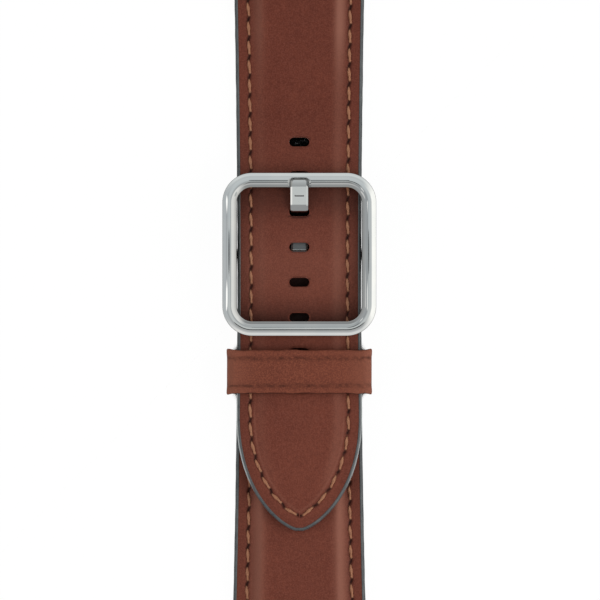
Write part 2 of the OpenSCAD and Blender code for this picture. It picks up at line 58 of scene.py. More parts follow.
# The strap's sizes in millimetres, as the solid model has them
strap = {
    "buckleWidth": 21.7, "lugWidth": 24.0, "shortLength": 75.0, "tipY": -48.25, "barY": 75.0,
    "tailLength": 20.5, "top": 1.0, "lining": 0.8, "loop": 0.8, "padHeight": 1.7, "coat": 0.35,
    "tape": 0.2, "glue": 0.03, "layGap": 0.1, "threadSize": 0.4,
    "buckleBarZ": 1.65, "buckleBore": 0.85, "lugBarZ": 1.75, "lugBore": 0.95,
    "dip": 8.0, "rampStart": 1.0, "rampEnd": 26.0, "padStart": 26.0, "padFull": 58.0,
    "lugEase": 13.0, "noseEase": 9.0, "flap": 9.0, "crownTop": 1.06, "boreShare": 0.97,
    "keeperTopY": -16.8, "keeperLowY": -24.4, "rimInnerY": 11.75, "longFlare": 1.5, "shortFlare": 2.0,
    "tailBend": 2.2, "tipPower": 2 / 3, "tapeFrom": 5.0, "tapeFull": 12.0,
}
crownShape = {"from": 2.6, "full": 4.6, "narrow": 4.8, "middle": 4.5}
lugY = strap["barY"]
layerZ = strap["lining"] + strap["glue"]
tapeLift = strap["tape"] + 2 * strap["glue"]
crestZ = strap["buckleBarZ"] + strap["buckleBore"] + strap["loop"] + strap["layGap"]


def ease(a, b, y):
    t = max(0.0, min(1.0, (y - a) / (b - a)))
    return t * t * (3 - 2 * t)


def halfWidth(y):
    flare = strap["longFlare"] if y > 0 else strap["shortFlare"]
    share = min(1.0, abs(y) / strap["shortLength"]) ** flare
    width = strap["buckleWidth"] + (strap["lugWidth"] - strap["buckleWidth"]) * share
    return width / 2 - strap["coat"]


def tailShare(y, start, power):
    t = max(0.0, min(1.0, (y - start) / (strap["tipY"] + strap["tailLength"] - start)))
    return (1 - (1 - t) ** strap["tailBend"]) ** power


def longHalfWidth(y):
    return halfWidth(y) * tailShare(y, strap["tipY"], strap["tipPower"])


def lugCrown(y):
    rise = ease(strap["padStart"], strap["padFull"], abs(y))
    return strap["padHeight"] * rise * (1 - ease(lugY - strap["lugEase"], lugY, abs(y)))


def longCrown(y):
    if y > strap["padStart"]:
        return lugCrown(y) + tapeLift * (1 - ease(lugY - strap["lugEase"], lugY, y))
    return tapeLift * ease(strap["tipY"] + strap["tapeFrom"], strap["tipY"] + strap["tapeFull"], y)


def loopIn(bore):
    return strap["boreShare"] * bore


def loopThickness(bore):
    return strap["loop"] + bore - loopIn(bore)


# How near the lug a place is, from 0 before the leather thickens for its loop to 1 at the bar
def noseShare(distance):
    return ease(lugY - strap["noseEase"], lugY, distance)


def noseLift(y):
    top = strap["lugBarZ"] + loopIn(strap["lugBore"]) - layerZ
    return top * noseShare(abs(y))


def shortBase(y):
    dip = strap["buckleBarZ"] + loopIn(strap["buckleBore"]) - layerZ
    return layerZ + noseLift(min(y, 0)) + dip * ease(-strap["dip"], 0, y)


def shortThickness(y):
    near = (loopThickness(strap["buckleBore"]) - strap["top"]) * ease(-strap["dip"], 0, y)
    far = (loopThickness(strap["lugBore"]) - strap["top"]) * noseShare(-y)
    return strap["top"] + near + far


def longThickness(y):
    return strap["top"] + (loopThickness(strap["lugBore"]) - strap["top"]) * noseShare(y)


def longUnder(y):
    if y > 0:
        return crestZ * (1 - ease(strap["rampStart"], strap["rampEnd"], y))
    overStitches = strap["threadSize"] + 2 * strap["glue"] - strap["layGap"]
    return (shortBase(y) + shortThickness(y) + strap["crownTop"] * lugCrown(y) + strap["layGap"]
            + overStitches * (1 - ease(strap["keeperLowY"], strap["keeperTopY"], y)))


def longBase(y):
    return longUnder(y) + layerZ + noseLift(max(y, 0))


def longTop(y):
    return longBase(y) + longThickness(y)


def longTopAt(y):
    return longTop(y) + strap["crownTop"] * longCrown(y)


# The short piece lies on the table
def shortUnder(y):
    return 0.0


def shortTop(y):
    return shortBase(y) + shortThickness(y)


# How far up the crown the leather is, by its distance in from the edge
def crownShare(d, w):
    look = crownShape
    k = min(1.0, w / look["narrow"])
    middle = 0
    if w > look["narrow"]:
        middle = max(0.0, 1 - (w - d) / max(0.1, w - look["middle"] * k))
    return ease(look["from"] * k, look["full"] * k, d) + (strap["crownTop"] - 1) * ease(0, 1, middle)


# Meshes


def onlySelect(*pieces):
    bpy.ops.object.select_all(action="DESELECT")
    for piece in pieces:
        piece.select_set(True)
    bpy.context.view_layer.objects.active = pieces[0]


# Corners nearer to one another than this are merged, in metres
mergeGap = 1e-6


# A grid primitive wrapped round a row of rings, given in millimetres, and closed
def wrapGrid(name, rings, closed=False, marks=None):
    columns = len(rings[0])
    rows = rings + rings[:1] if closed else rings
    bpy.ops.object.select_all(action="DESELECT")
    bpy.ops.mesh.primitive_grid_add(x_subdivisions=columns, y_subdivisions=len(rows) - 1)
    piece = bpy.context.object
    piece.name = name
    piece.data.name = name
    flat = [value * mm for ring in rows for point in ring + ring[:1] for value in point]
    piece.data.vertices.foreach_set("co", flat)
    for key, table in (marks or {}).items():
        table = table + table[:1] if closed else table
        layer = piece.data.attributes.new(key, "FLOAT", "POINT")
        layer.data.foreach_set("value", [v for row in table for v in row + row[:1]])
    for row in (() if closed else (0, len(rows) - 1)):
        first = row * (columns + 1)
        for vertex in piece.data.vertices:
            vertex.select = first <= vertex.index <= first + columns
        bpy.ops.object.mode_set(mode="EDIT")
        bpy.ops.mesh.select_mode(type="VERT")
        bpy.ops.mesh.edge_face_add()
        bpy.ops.mesh.select_all(action="DESELECT")
        bpy.ops.object.mode_set(mode="OBJECT")
    bpy.ops.object.mode_set(mode="EDIT")
    bpy.ops.mesh.select_all(action="SELECT")
    bpy.ops.mesh.remove_doubles(threshold=mergeGap)
    bpy.ops.mesh.select_mode(type="VERT")
    bpy.ops.mesh.select_all(action="SELECT")
    bpy.ops.mesh.normals_make_consistent(inside=False)
    bpy.ops.object.mode_set(mode="OBJECT")
    return piece


# A closed profile of (along, radius) points turned about an X axis at (y, z)
def turnProfile(name, profile, y, z, steps=48):
    bpy.ops.object.select_all(action="DESELECT")
    bpy.ops.mesh.primitive_circle_add(vertices=len(profile), radius=mm)
    piece = bpy.context.object
    piece.name = name
    piece.data.name = name
    for vertex, (along, radius) in zip(piece.data.vertices, profile):
        vertex.co = (along * mm, y * mm, (z + radius) * mm)
    bpy.ops.object.mode_set(mode="EDIT")
    bpy.ops.mesh.select_all(action="SELECT")
    bpy.ops.mesh.spin(steps=steps, angle=2 * math.pi, center=(0, y * mm, z * mm), axis=(1, 0, 0))
    bpy.ops.mesh.select_all(action="SELECT")
    bpy.ops.mesh.remove_doubles(threshold=mergeGap)
    bpy.ops.mesh.delete_loose()
    bpy.ops.mesh.select_all(action="SELECT")
    bpy.ops.mesh.normals_make_consistent(inside=False)
    bpy.ops.object.mode_set(mode="OBJECT")
    return piece


def applyModifier(piece, kind, **values):
    modifier = piece.modifiers.new(kind.title(), kind)
    for key, value in values.items():
        setattr(modifier, key, value)
    onlySelect(piece)
    bpy.ops.object.modifier_apply(modifier=modifier.name)


# Cuts the piece with each cutter, or joins them to it, and removes the cutters
def cutWith(piece, *cutters, operation="DIFFERENCE"):
    for cutter in cutters:
        applyModifier(piece, "BOOLEAN", object=cutter, operation=operation, solver="EXACT")
        bpy.data.objects.remove(cutter, do_unlink=True)


def smooth(piece, angle):
    onlySelect(piece)
    bpy.ops.object.shade_smooth_by_angle(angle=math.radians(angle))


# An attribute with one value all over the piece
def markAll(piece, key, value):
    layer = piece.data.attributes.new(key, "FLOAT", "POINT")
    layer.data.foreach_set("value", [value] * len(piece.data.vertices))


def joinPieces(name, parts):
    onlySelect(*parts)
    bpy.ops.object.join()
    parts[0].name = name
    parts[0].data.name = name
    return parts[0]


# A polygon with its corners rounded, each corner given as (x, y, radius)
def roundCorners(corners, steps=4):
    points = []
    count = len(corners)
    for i, (x, y, radius) in enumerate(corners):
        here = Vector((x, y))
        before = Vector(corners[i - 1][:2]) - here
        after = Vector(corners[(i + 1) % count][:2]) - here
        if radius <= 0:
            points.append((x, y))
            continue
        half = before.angle(after) / 2
        reach = min(radius / math.tan(half), before.length * 0.49, after.length * 0.49)
        start = here + before.normalized() * reach
        end = here + after.normalized() * reach
        for k in range(steps + 1):
            t = k / steps
            p = start * (1 - t) ** 2 + here * 2 * t * (1 - t) + end * t ** 2
            points.append((p.x, p.y))
    return points


# Points along an arc about (x, y), between two angles in degrees
def arcPoints(x, y, radius, start, end, steps):
    turns = [math.radians(start + (end - start) * k / steps) for k in range(steps + 1)]
    return [(x + radius * math.cos(turn), y + radius * math.sin(turn)) for turn in turns]


# Materials


def newMaterial(name):
    material = bpy.data.materials.new(name)
    material.use_nodes = True
    tree = material.node_tree
    return material, tree, tree.nodes["Principled BSDF"]


def addNode(tree, kind, inputs=None, **values):
    node = tree.nodes.new("ShaderNode" + kind)
    for key, value in values.items():
        setattr(node, key, value)
    for key, value in (inputs or {}).items():
        node.inputs[key].default_value = value
    return node


# Object coordinates in millimetres, stretched along the axes where asked
def millimetres(tree, stretch=(1, 1, 1)):
    place = addNode(tree, "TexCoord")
    scale = addNode(tree, "Mapping", {"Scale": [1000 * s for s in stretch]})
    tree.links.new(place.outputs["Object"], scale.inputs["Vector"])
    return scale.outputs["Vector"]


def noiseOn(tree, vector, scale, detail=2, roughness=0.5):
    node = addNode(tree, "TexNoise", {"Scale": scale, "Detail": detail, "Roughness": roughness})
    tree.links.new(vector, node.inputs["Vector"])
    return node.outputs["Fac"]


def remap(tree, value, low, high, toLow=0.0, toHigh=1.0):
    node = addNode(tree, "MapRange", {"From Min": low, "From Max": high, "To Min": toLow, "To Max": toHigh})
    tree.links.new(value, node.inputs["Value"])
    return node.outputs["Result"]


# Gives a socket a fixed value or another node's output
def feed(tree, socket, value):
    if isinstance(value, bpy.types.NodeSocket):
        tree.links.new(value, socket)
    else:
        socket.default_value = value


def mixColors(tree, factor, first, second):
    node = addNode(tree, "Mix", data_type="RGBA")
    for i, value in ((0, factor), (6, first), (7, second)):
        feed(tree, node.inputs[i], value)
    return node.outputs[2]


def attributeOn(tree, name):
    return addNode(tree, "Attribute", attribute_name=name).outputs["Fac"]


def addMath(tree, operation, a, b):
    node = addNode(tree, "Math", operation=operation)
    for socket, value in zip(node.inputs, (a, b)):
        feed(tree, socket, value)
    return node.outputs[0]


# The shader's colour, its roughness and its relief, as (height, strength, distance in millimetres)
def paintSurface(tree, shader, color, roughness, heights):
    feed(tree, shader.inputs["Base Color"], color)
    feed(tree, shader.inputs["Roughness"], roughness)
    last = None
    for height, strength, distance in heights:
        bump = addNode(tree, "Bump", {"Strength": strength, "Distance": distance * mm})
        tree.links.new(height, bump.inputs["Height"])
        if last:
            tree.links.new(last, bump.inputs["Normal"])
        last = bump.outputs["Normal"]
    if last:
        tree.links.new(last, shader.inputs["Normal"])


leatherLook = {
    "name": "reddish_brown_leather", "tone": (0.121, 0.0305, 0.0182, 1), "deep": (0.074, 0.0172, 0.0108, 1),
    "lit": (0.168, 0.051, 0.034, 1), "pulledAndLit": (0.238, 0.099, 0.069, 1), "mark": (0.008, 0.003, 0.0025, 1),
    "roughness": (0.48, 0.64), "specular": 0.10, "pebble": 0.46, "fibre": 0.34, "grain": 0.42,
}
keeperLook = dict(leatherLook, name="keeper_leather", pebble=0.45, fibre=0.3, grain=0.62,
                  tone=(0.122, 0.0300, 0.0172, 1), lit=(0.190, 0.054, 0.029, 1),
                  pulledAndLit=(0.240, 0.093, 0.060, 1))


def leatherMaterial(look):
    material, tree, shader = newMaterial(look["name"])
    place = millimetres(tree)
    cloud = noiseOn(tree, place, 0.09, 3)
    mottle = noiseOn(tree, place, 0.8, 3, 0.6)
    pebble = noiseOn(tree, place, 1.7, 2, 0.5)
    fibre = noiseOn(tree, millimetres(tree, (1, 0.3, 1)), 3.0, 2, 0.5)
    grain = noiseOn(tree, place, 4.4, 2, 0.5)
    fine = noiseOn(tree, place, 8, 4, 0.65)
    cells = addNode(tree, "TexVoronoi", {"Scale": 2.6}, feature="DISTANCE_TO_EDGE")
    tree.links.new(place, cells.inputs["Vector"])
    creases = remap(tree, cells.outputs["Distance"], 0.0, 0.12)
    color = mixColors(tree, remap(tree, cloud, 0.35, 0.65, 0.3, 1), look["deep"], look["tone"])
    color = mixColors(tree, remap(tree, mottle, 0.3, 0.7, 0.0, 0.6), color, look["tone"])
    color = mixColors(tree, remap(tree, pebble, 0.38, 0.66, 0.0, look["pebble"]), color, look["deep"])
    color = mixColors(tree, remap(tree, fibre, 0.42, 0.66, 0.0, look["fibre"]), color, look["deep"])
    color = mixColors(tree, remap(tree, grain, 0.42, 0.66, 0.0, look["grain"]), color, look["lit"])
    # The pull attribute paints the leather paler: pull-up at the tail's crease line, a paler tone over the
    # keeper, and painted light and sheen inside the buckle, on the padding's shoulders and at the keeper's
    # ends
    color = mixColors(tree, attributeOn(tree, "pull"), color, look["pulledAndLit"])
    # The mark attribute paints the leather dark: painted shade in and round the needle holes and punched
    # holes, beside the rim's bars, inside the buckle and toward the long piece's lug; the margin by the edge
    # a little darker; and the keeper's dark creases and low edge
    color = mixColors(tree, attributeOn(tree, "mark"), color, look["mark"])
    shader.inputs["Specular IOR Level"].default_value = look["specular"]
    relief = [(creases, 0.16, 0.03), (fine, 0.3, 0.03), (grain, 0.4, 0.05), (pebble, 0.3, 0.06)]
    paintSurface(tree, shader, color, remap(tree, mottle, 0.3, 0.7, *look["roughness"]), relief)
    return material


def liningMaterial():
    material, tree, shader = newMaterial("tan_lining_leather")
    place = millimetres(tree)
    nap = noiseOn(tree, place, 7, 6, 0.7)
    cloud = noiseOn(tree, place, 0.2, 3)
    color = mixColors(tree, remap(tree, cloud, 0.35, 0.65), (0.17, 0.068, 0.036, 1),
                      (0.21, 0.087, 0.047, 1))
    color = mixColors(tree, remap(tree, nap, 0.35, 0.65, 0, 0.35), color, (0.11, 0.043, 0.022, 1))
    color = mixColors(tree, attributeOn(tree, "mark"), color, (0.02, 0.009, 0.006, 1))
    shader.inputs["Specular IOR Level"].default_value = 0.25
    paintSurface(tree, shader, color, remap(tree, nap, 0.3, 0.7, 0.68, 0.85), [(nap, 0.35, 0.04)])
    return material


def edgeMaterial():
    material, tree, shader = newMaterial("slate_edge_paint")
    place = millimetres(tree)
    dabs = noiseOn(tree, place, 0.7, 3)
    fine = noiseOn(tree, place, 6, 3)
    color = mixColors(tree, remap(tree, dabs, 0.3, 0.7), (0.034, 0.038, 0.041, 1), (0.060, 0.065, 0.067, 1))
    color = mixColors(tree, attributeOn(tree, "shine"), color, (0.52, 0.55, 0.55, 1))
    shader.inputs["Specular IOR Level"].default_value = 0.55
    shader.inputs["Coat Weight"].default_value = 0.35
    shader.inputs["Coat Roughness"].default_value = 0.15
    paintSurface(tree, shader, color, remap(tree, dabs, 0.3, 0.7, 0.26, 0.42),
                 [(dabs, 0.25, 0.05), (fine, 0.12, 0.02)])
    return material


def threadMaterial():
    material, tree, shader = newMaterial("waxed_tan_thread")
    place = millimetres(tree)
    fibres = noiseOn(tree, place, 9, 3, 0.7)
    cloud = noiseOn(tree, place, 1.2, 2)
    color = mixColors(tree, remap(tree, fibres, 0.35, 0.65), (0.178, 0.068, 0.031, 1),
                      (0.315, 0.134, 0.066, 1))
    color = mixColors(tree, remap(tree, cloud, 0.3, 0.7, 0, 0.3), color, (0.232, 0.097, 0.053, 1))
    # The mark darkens the thread's ends, painted shade where they go down into the leather
    color = mixColors(tree, attributeOn(tree, "mark"), color, (0.050, 0.019, 0.009, 1))
    paintSurface(tree, shader, color, 0.55, [(fibres, 0.3, 0.03)])
    return material


def polishedSteel():
    material, tree, shader = newMaterial("polished_steel")
    place = millimetres(tree)
    haze = noiseOn(tree, place, 0.25, 3)
    lines = noiseOn(tree, millimetres(tree, (5, 0.6, 1)), 1.6, 3, 0.6)
    color = mixColors(tree, remap(tree, haze, 0.35, 0.65), (0.79, 0.80, 0.80, 1), (0.84, 0.84, 0.83, 1))
    brushed = attributeOn(tree, "brushed")
    streaks = remap(tree, lines, 0.38, 0.62, 0.2, 1)
    color = mixColors(tree, addMath(tree, "MULTIPLY", brushed, streaks), color, (0.80, 0.82, 0.83, 1))
    # The mark attribute paints the steel dark: painted shade and painted reflection on the rim and the tongue
    color = mixColors(tree, attributeOn(tree, "mark"), color, (0.025, 0.025, 0.027, 1))
    shader.inputs["Metallic"].default_value = 1
    dull = addMath(tree, "MULTIPLY", brushed, 0.26)
    roughness = addMath(tree, "ADD", remap(tree, haze, 0.3, 0.7, 0.02, 0.045), dull)
    paintSurface(tree, shader, color, roughness, [(lines, 0.01, 0.003)])
    return material


def brushedSteel():
    material, tree, shader = newMaterial("brushed_bar_steel")
    place = millimetres(tree, (0.4, 9, 9))
    lines = noiseOn(tree, place, 2.0, 4, 0.7)
    color = mixColors(tree, remap(tree, lines, 0.3, 0.7), (0.52, 0.53, 0.55, 1), (0.86, 0.87, 0.88, 1))
    shader.inputs["Metallic"].default_value = 1
    paintSurface(tree, shader, color, remap(tree, lines, 0.3, 0.7, 0.25, 0.4), [(lines, 0.2, 0.01)])
    return material


def springSteel():
    material, tree, shader = newMaterial("blued_spring_wire")
    lines = noiseOn(tree, millimetres(tree), 4, 3)
    color = mixColors(tree, remap(tree, lines, 0.3, 0.7), (0.20, 0.21, 0.24, 1), (0.32, 0.33, 0.35, 1))
    shader.inputs["Metallic"].default_value = 1
    paintSurface(tree, shader, color, 0.3, [])
    return material


def feltMaterial():
    material, tree, shader = newMaterial("pressed_felt_filler")
    fibres = noiseOn(tree, millimetres(tree), 4, 6, 0.75)
    color = mixColors(tree, remap(tree, fibres, 0.3, 0.7), (0.30, 0.22, 0.14, 1), (0.46, 0.36, 0.25, 1))
    paintSurface(tree, shader, color, 0.9, [(fibres, 0.5, 0.08)])
    return material


def tapeMaterial():
    material, tree, shader = newMaterial("woven_nylon_tape")
    place = millimetres(tree)
    warp = addNode(tree, "TexWave", {"Scale": 1.1, "Distortion": 0.3}, bands_direction="X")
    weft = addNode(tree, "TexWave", {"Scale": 1.1, "Distortion": 0.3}, bands_direction="Y")
    for wave in (warp, weft):
        tree.links.new(place, wave.inputs["Vector"])
    weave = addMath(tree, "MULTIPLY", warp.outputs["Fac"], weft.outputs["Fac"])
    color = mixColors(tree, weave, (0.55, 0.53, 0.48, 1), (0.78, 0.76, 0.70, 1))
    paintSurface(tree, shader, color, 0.7, [(weave, 0.4, 0.03)])
    return material


finishes = {
    "leather": leatherMaterial(leatherLook), "keeper": leatherMaterial(keeperLook),
    "lining": liningMaterial(), "edge_coat": edgeMaterial(),
    "thread": threadMaterial(), "polished_steel": polishedSteel(), "bar_steel": brushedSteel(),
    "spring_steel": springSteel(), "filler": feltMaterial(), "tape": tapeMaterial(),
}


# Smooths a finished piece up to an angle, gives it the material of its slot or finish, hides the solid
# model's nodes that it replaces, and bakes its placing in or parents it to its body
def finishPiece(piece, angle, slot, nodes, body=None, blend=None, finish=None):
    smooth(piece, angle)
    piece.data.materials.clear()
    piece.data.materials.append(finishes[finish or slot])
    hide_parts(*nodes)
    if blend:
        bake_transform(piece)
    else:
        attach(piece, body)


longBend = ("long_lug_bar", 31, 61)
shortBend = ("short_lug_bar", -50, -70)

# Seams

seams = {
    "inset": 2.05, "tipGap": 2.5, "endGap": 4.0, "keeperGap": 0.4, "pitch": 3.36, "stitch": 2.5,
    "longDrift": (-0.18, 0.42), "shortDrift": (-0.18, 0.16), "driftOver": 9, "stitchLean": 5.0,
    "holeLean": -22.0, "holeLength": 0.56, "holeWidth": 0.27, "holeDepth": 0.28, "holeReach": 1.2,
    "pullReach": 0.38, "tipPower": 0.72, "steps": 1500, "stepPower": 1.6,
}
seamTipY = strap["tipY"] + seams["tipGap"]


def longSeamHalf(y):
    return (halfWidth(y) - seams["inset"]) * tailShare(y, seamTipY, seams["tipPower"])


def shortSeamHalf(y):
    return halfWidth(y) - seams["inset"]


# Places along a seam, each a point and the seam's direction there. The machine's stitches are a
# little shorter on one side of the tip and longer on the other, so the two lines drift apart.
def seamPlaces(y0, y1, halfAt, drifts, first):
    steps = seams["steps"]
    path = [y0 + (y1 - y0) * (i / steps) ** seams["stepPower"] for i in range(steps + 1)]
    points = [Vector((halfAt(y), y)) for y in path]
    run = [0.0]
    for a, b in zip(points, points[1:]):
        run.append(run[-1] + (b - a).length)
    places = []
    for side, drift in zip((-1, 1), drifts):
        i = 0
        for n in range(int(run[-1] / seams["pitch"])):
            length = (n + first + drift * ease(0, seams["driftOver"], n)) * seams["pitch"]
            while i < steps - 1 and run[i + 1] < length:
                i += 1
            t = (length - run[i]) / max(1e-9, run[i + 1] - run[i])
            place, way = points[i].lerp(points[i + 1], t), (points[i + 1] - points[i]).normalized()
            places.append((Vector((side * place.x, place.y)), Vector((side * way.x, way.y))))
    return places


seamRuns = {
    "long": (seamTipY, lugY - seams["endGap"], longSeamHalf, seams["longDrift"]),
    "short": (-lugY + seams["endGap"], strap["keeperLowY"] - seams["keeperGap"], shortSeamHalf,
              seams["shortDrift"]),
}
needleHoles = {key: seamPlaces(*run, 0) for key, run in seamRuns.items()}
stitches = {key: seamPlaces(*run, 0.5) for key, run in seamRuns.items()}


# How deep in a needle hole a place is, from 0 outside to 1 in its middle
def needleShare(holes, x, y):
    lean = math.radians(seams["holeLean"])
    share = 0.0
    for place, direction in holes:
        if abs(place.y - y) > seams["holeReach"] or abs(place.x - x) > seams["holeReach"]:
            continue
        along = Vector((direction.x * math.cos(lean) - direction.y * math.sin(lean),
                        direction.x * math.sin(lean) + direction.y * math.cos(lean)))
        off = Vector((x - place.x, y - place.y))
        u = off.dot(along) / seams["holeLength"]
        v = (off.x * along.y - off.y * along.x) / seams["holeWidth"]
        share = max(share, math.exp(-(u ** 4 + v * v)))
    return share


def nearestHoles(holes, y):
    return [hole for hole in holes if abs(hole[0].y - y) < seams["holeReach"]]


# The thread pulls the leather down a little along the seam
def seamPull(x, y, halfAt, y0, y1):
    if not y0 < y < y1:
        return 0.0
    return math.exp(-((abs(x) - halfAt(y)) / seams["pullReach"]) ** 2)


# Leather

# The holes are counted from the tip, and the one that peeps out past the rim is punched longer
punched = {"tipToHole": 24.85, "pitch": 6.15, "count": 8, "length": 3.54, "width": 1.58,
           "used": 6, "peeping": 7, "peep": 0.24}
punchedYs = [strap["tipY"] + punched["tipToHole"] + i * punched["pitch"] for i in range(punched["count"])]


def distanceToHole(x, y):
    radius = punched["width"] / 2
    reach = punched["length"] / 2 - radius
    near = min(punchedYs, key=lambda holeY: abs(holeY - y))
    return math.hypot(max(0.0, abs(x) - reach), y - near) - radius


# Distances in from the edge at which the leather's top has its columns
edgeColumns = [0, 0.03, 0.1, 0.2, 0.35, 0.55, 0.85, 1.15, 1.4, 1.55, 1.68, 1.8, 1.9, 2.0, 2.1, 2.2, 2.3,
               2.42, 2.55, 2.7, 2.85, 3.0, 3.15, 3.35, 3.6, 3.85, 4.1, 4.35, 4.6, 4.9, 5.3, 5.8, 6.3, 6.9,
               7.5, 8.1, 8.7, 9.3, 9.9, 10.4]
underColumns = [0.15, 1.2, 2.6, 3.1, 3.6, 4.1, 4.6, 6, 8]
fullWidth = 10.9
rounded = {"radius": 0.35, "drop": 0.22, "foot": 0.12}


# How far the leather's top is rounded down at its edge
def edgeDrop(d):
    radius = rounded["radius"]
    if d >= radius:
        return 0.0
    return rounded["drop"] * (1 - math.sqrt(max(0.0, 1 - ((radius - d) / radius) ** 2)))


# The ring of a top leather, as (x, height, distance from the edge, on top or not)
def leatherSection(w, t, c):
    k = w / fullWidth
    top = [d * k for d in edgeColumns]
    under = [d * k for d in underColumns]
    half = [(w - d, t - edgeDrop(d) + c * crownShare(d, w), d) for d in top]
    below = [(w - d, c * crownShare(d, w), d) for d in under]
    middle = c * crownShare(w, w)
    ring = [(-x, h, d, 1) for x, h, d in half] + [(0, t + middle, w, 1)]
    ring += [(x, h, d, 1) for x, h, d in reversed(half)]
    ring += [(w, t * 0.5, 0, 0), (w, rounded["foot"], 0, 0)] + [(x, h, d, 0) for x, h, d in below]
    ring += [(0, middle, w, 0)] + [(-x, h, d, 0) for x, h, d in reversed(below)]
    return ring + [(-w, rounded["foot"], 0, 0), (-w, t * 0.5, 0, 0)]


# Slow and quick waves in the leather, each as how close in x and in y, a shift and a height
waves = ((0.16, 0.12, 0, 0.05), (0.55, 0.5, 7, 0.016))


def handWaves(x, y, z, amount=1.0):
    heights = [noise.noise(Vector((x * across, y * along, shift + z))) * height
               for across, along, shift, height in waves]
    return sum(heights) * amount


# The leather inside the buckle is darker toward both end bars
endShade = {"top": 0.48, "low": 0.56, "reach": 13.2, "from": 4.5, "full": 11, "middleY": -1}


def buckleShade(y):
    if abs(y) > endShade["reach"]:
        return 0.0
    depth = endShade["top"] if y > 0 else endShade["low"]
    return depth * ease(endShade["from"], endShade["full"], abs(y - endShade["middleY"]))


# Painted light: the leather is painted lightest inside the buckle, for the light on the strap where it bends
# over the centre bar, and a little lighter everywhere but the long piece's lug end, for the light falling off
# toward that end
strapLighting = {"all": 0.04, "from": 14, "gone": 26, "buckle": 0.10, "buckleY": -3, "buckleReach": 6}


def strapLight(y):
    tones = strapLighting
    inBuckle = math.exp(-((y - tones["buckleY"]) / tones["buckleReach"]) ** 2)
    return tones["all"] * (1 - ease(tones["from"], tones["gone"], y)) + tones["buckle"] * inBuckle


# Painted shade: the leather beside the rim's two end bars is painted darker, standing in for the bars' shadow
rimShadowShape = {"top": (0.28, 11.5, 4.5), "low": (0.42, -11.5, 3.5), "under": 1.2}


def rimShadow(y):
    share = 0.0
    for depth, barY, reach in (rimShadowShape["top"], rimShadowShape["low"]):
        inside = barY - y if barY > 0 else y - barY
        share += depth * math.exp(-(inside / (reach if inside > 0 else rimShadowShape["under"])) ** 2)
    return share


# A fine creased line follows the seam round the tail
tailLine = {"inset": 0.8, "half": 0.16, "pull": 0.22, "from": -24.0, "to": -30.0}


def tailCrease(x, y):
    if y > tailLine["from"]:
        return 0.0
    slope = (longSeamHalf(y + 0.05) - longSeamHalf(y - 0.05)) / 0.1
    offset = (longSeamHalf(y) - abs(x)) / math.sqrt(1 + slope * slope)
    fade = 1 - ease(tailLine["to"], tailLine["from"], y)
    return tailLine["pull"] * fade * math.exp(-((offset - tailLine["inset"]) / tailLine["half"]) ** 2)


# Painted sheen: the padding's shoulders are painted pale, partly for the stretched leather's pull-up and
# partly as a painted highlight, brighter on the right where the light comes from; how much, how wide and how
# sharply
shoulderSheen = {"long": ((0.36, 0.95, 2), (0.74, 0.95, 2.4)), "short": ((0.50, 1.1, 2), (0.60, 1.0, 2)),
             "inset": 3.82}
usedHole = {"y": punchedYs[punched["used"] - 1], "dark": 0.95, "reach": 0.26}
# How deep the top is drawn in at the seam and at a hole; how dark the punched holes' rims are painted, as
# painted shade; how much darker the margin by the edge is; how much darker the long piece is toward its lug,
# painted shade for the light falling off; and how much of the mark colour the darkest place takes
dents = {"seam": 0.07, "punch": 0.16, "punchReach": 0.22, "punchDark": 0.6, "darkReach": 0.15,
         "margin": 0.07, "far": 0.06, "most": 0.96}
tongueSlot = {"tongueWidth": 3.2, "gap": 0.3, "lowY": -3.4}


# Rings of a leather piece with its needle holes, its waves and the marks for its material
def leatherRings(rows, holes, halfAt, seamSpan, isLong):
    rings, pulls, darks = [], [], []
    for y, z, angle, w, t, c, flat in rows:
        close = nearestHoles(holes, y) if flat else []
        cosA, sinA = math.cos(math.radians(angle)), math.sin(math.radians(angle))
        ring, pull, dark = [], [], []
        for x, h, d, onTop in leatherSection(w, t, c):
            mark = lift = crease = 0.0
            if onTop and flat:
                # The needle holes are dented and painted dark, painted shade for their depth
                mark = needleShare(close, x, y) if d < w else 0.0
                mark = max(mark, dents["margin"] * (1 - ease(1.1, 1.8, d)))
                lift = handWaves(x, y, 0, min(1.0, d / 0.6))
                lift -= seams["holeDepth"] * mark
                lift -= dents["seam"] * seamPull(x, y, halfAt, *seamSpan)
                gap = distanceToHole(x, y)
                out = max(0.0, gap)
                if isLong:
                    lift -= dents["punch"] * math.exp(-(out / dents["punchReach"]) ** 2)
                    # Painted shade round the punched holes' rims, beside the rim's bars, inside the buckle,
                    # and toward the lug for the light falling off
                    rimmed = dents["punchDark"] * math.exp(-(out / dents["darkReach"]) ** 2)
                    mark = max(mark, rimmed, rimShadow(y), dents["far"] * ease(14, 26, y), buckleShade(y))
                    # Painted shade: the used hole's edge on the tip side is painted nearly black, where the
                    # tongue comes up through it
                    if abs(y - usedHole["y"]) < 1.6 and y < usedHole["y"] + 0.4:
                        mark = max(mark, usedHole["dark"] * math.exp(-(out / usedHole["reach"]) ** 4))
                    crease = tailCrease(x, y)
                # Painted shade: the short piece's top is painted dark where it shows through the long piece's
                # holes
                elif y < tongueSlot["lowY"]:
                    mark = max(mark, 1 - ease(0.2, 0.6, gap))
            height = h + lift
            ring.append((x, y + height * cosA, z + height * sinA))
            amount, reach, power = shoulderSheen["long" if isLong else "short"][1 if x > 0 else 0]
            sheen = amount * math.exp(-(abs(d - shoulderSheen["inset"]) / reach) ** power) * min(1.0, c / 0.9)
            pull.append(strapLight(y) + sheen + crease if onTop else 0.0)
            dark.append(mark * dents["most"])
        rings.append(ring)
        pulls.append(pull)
        darks.append(dark)
    return rings, {"pull": pulls, "mark": darks}


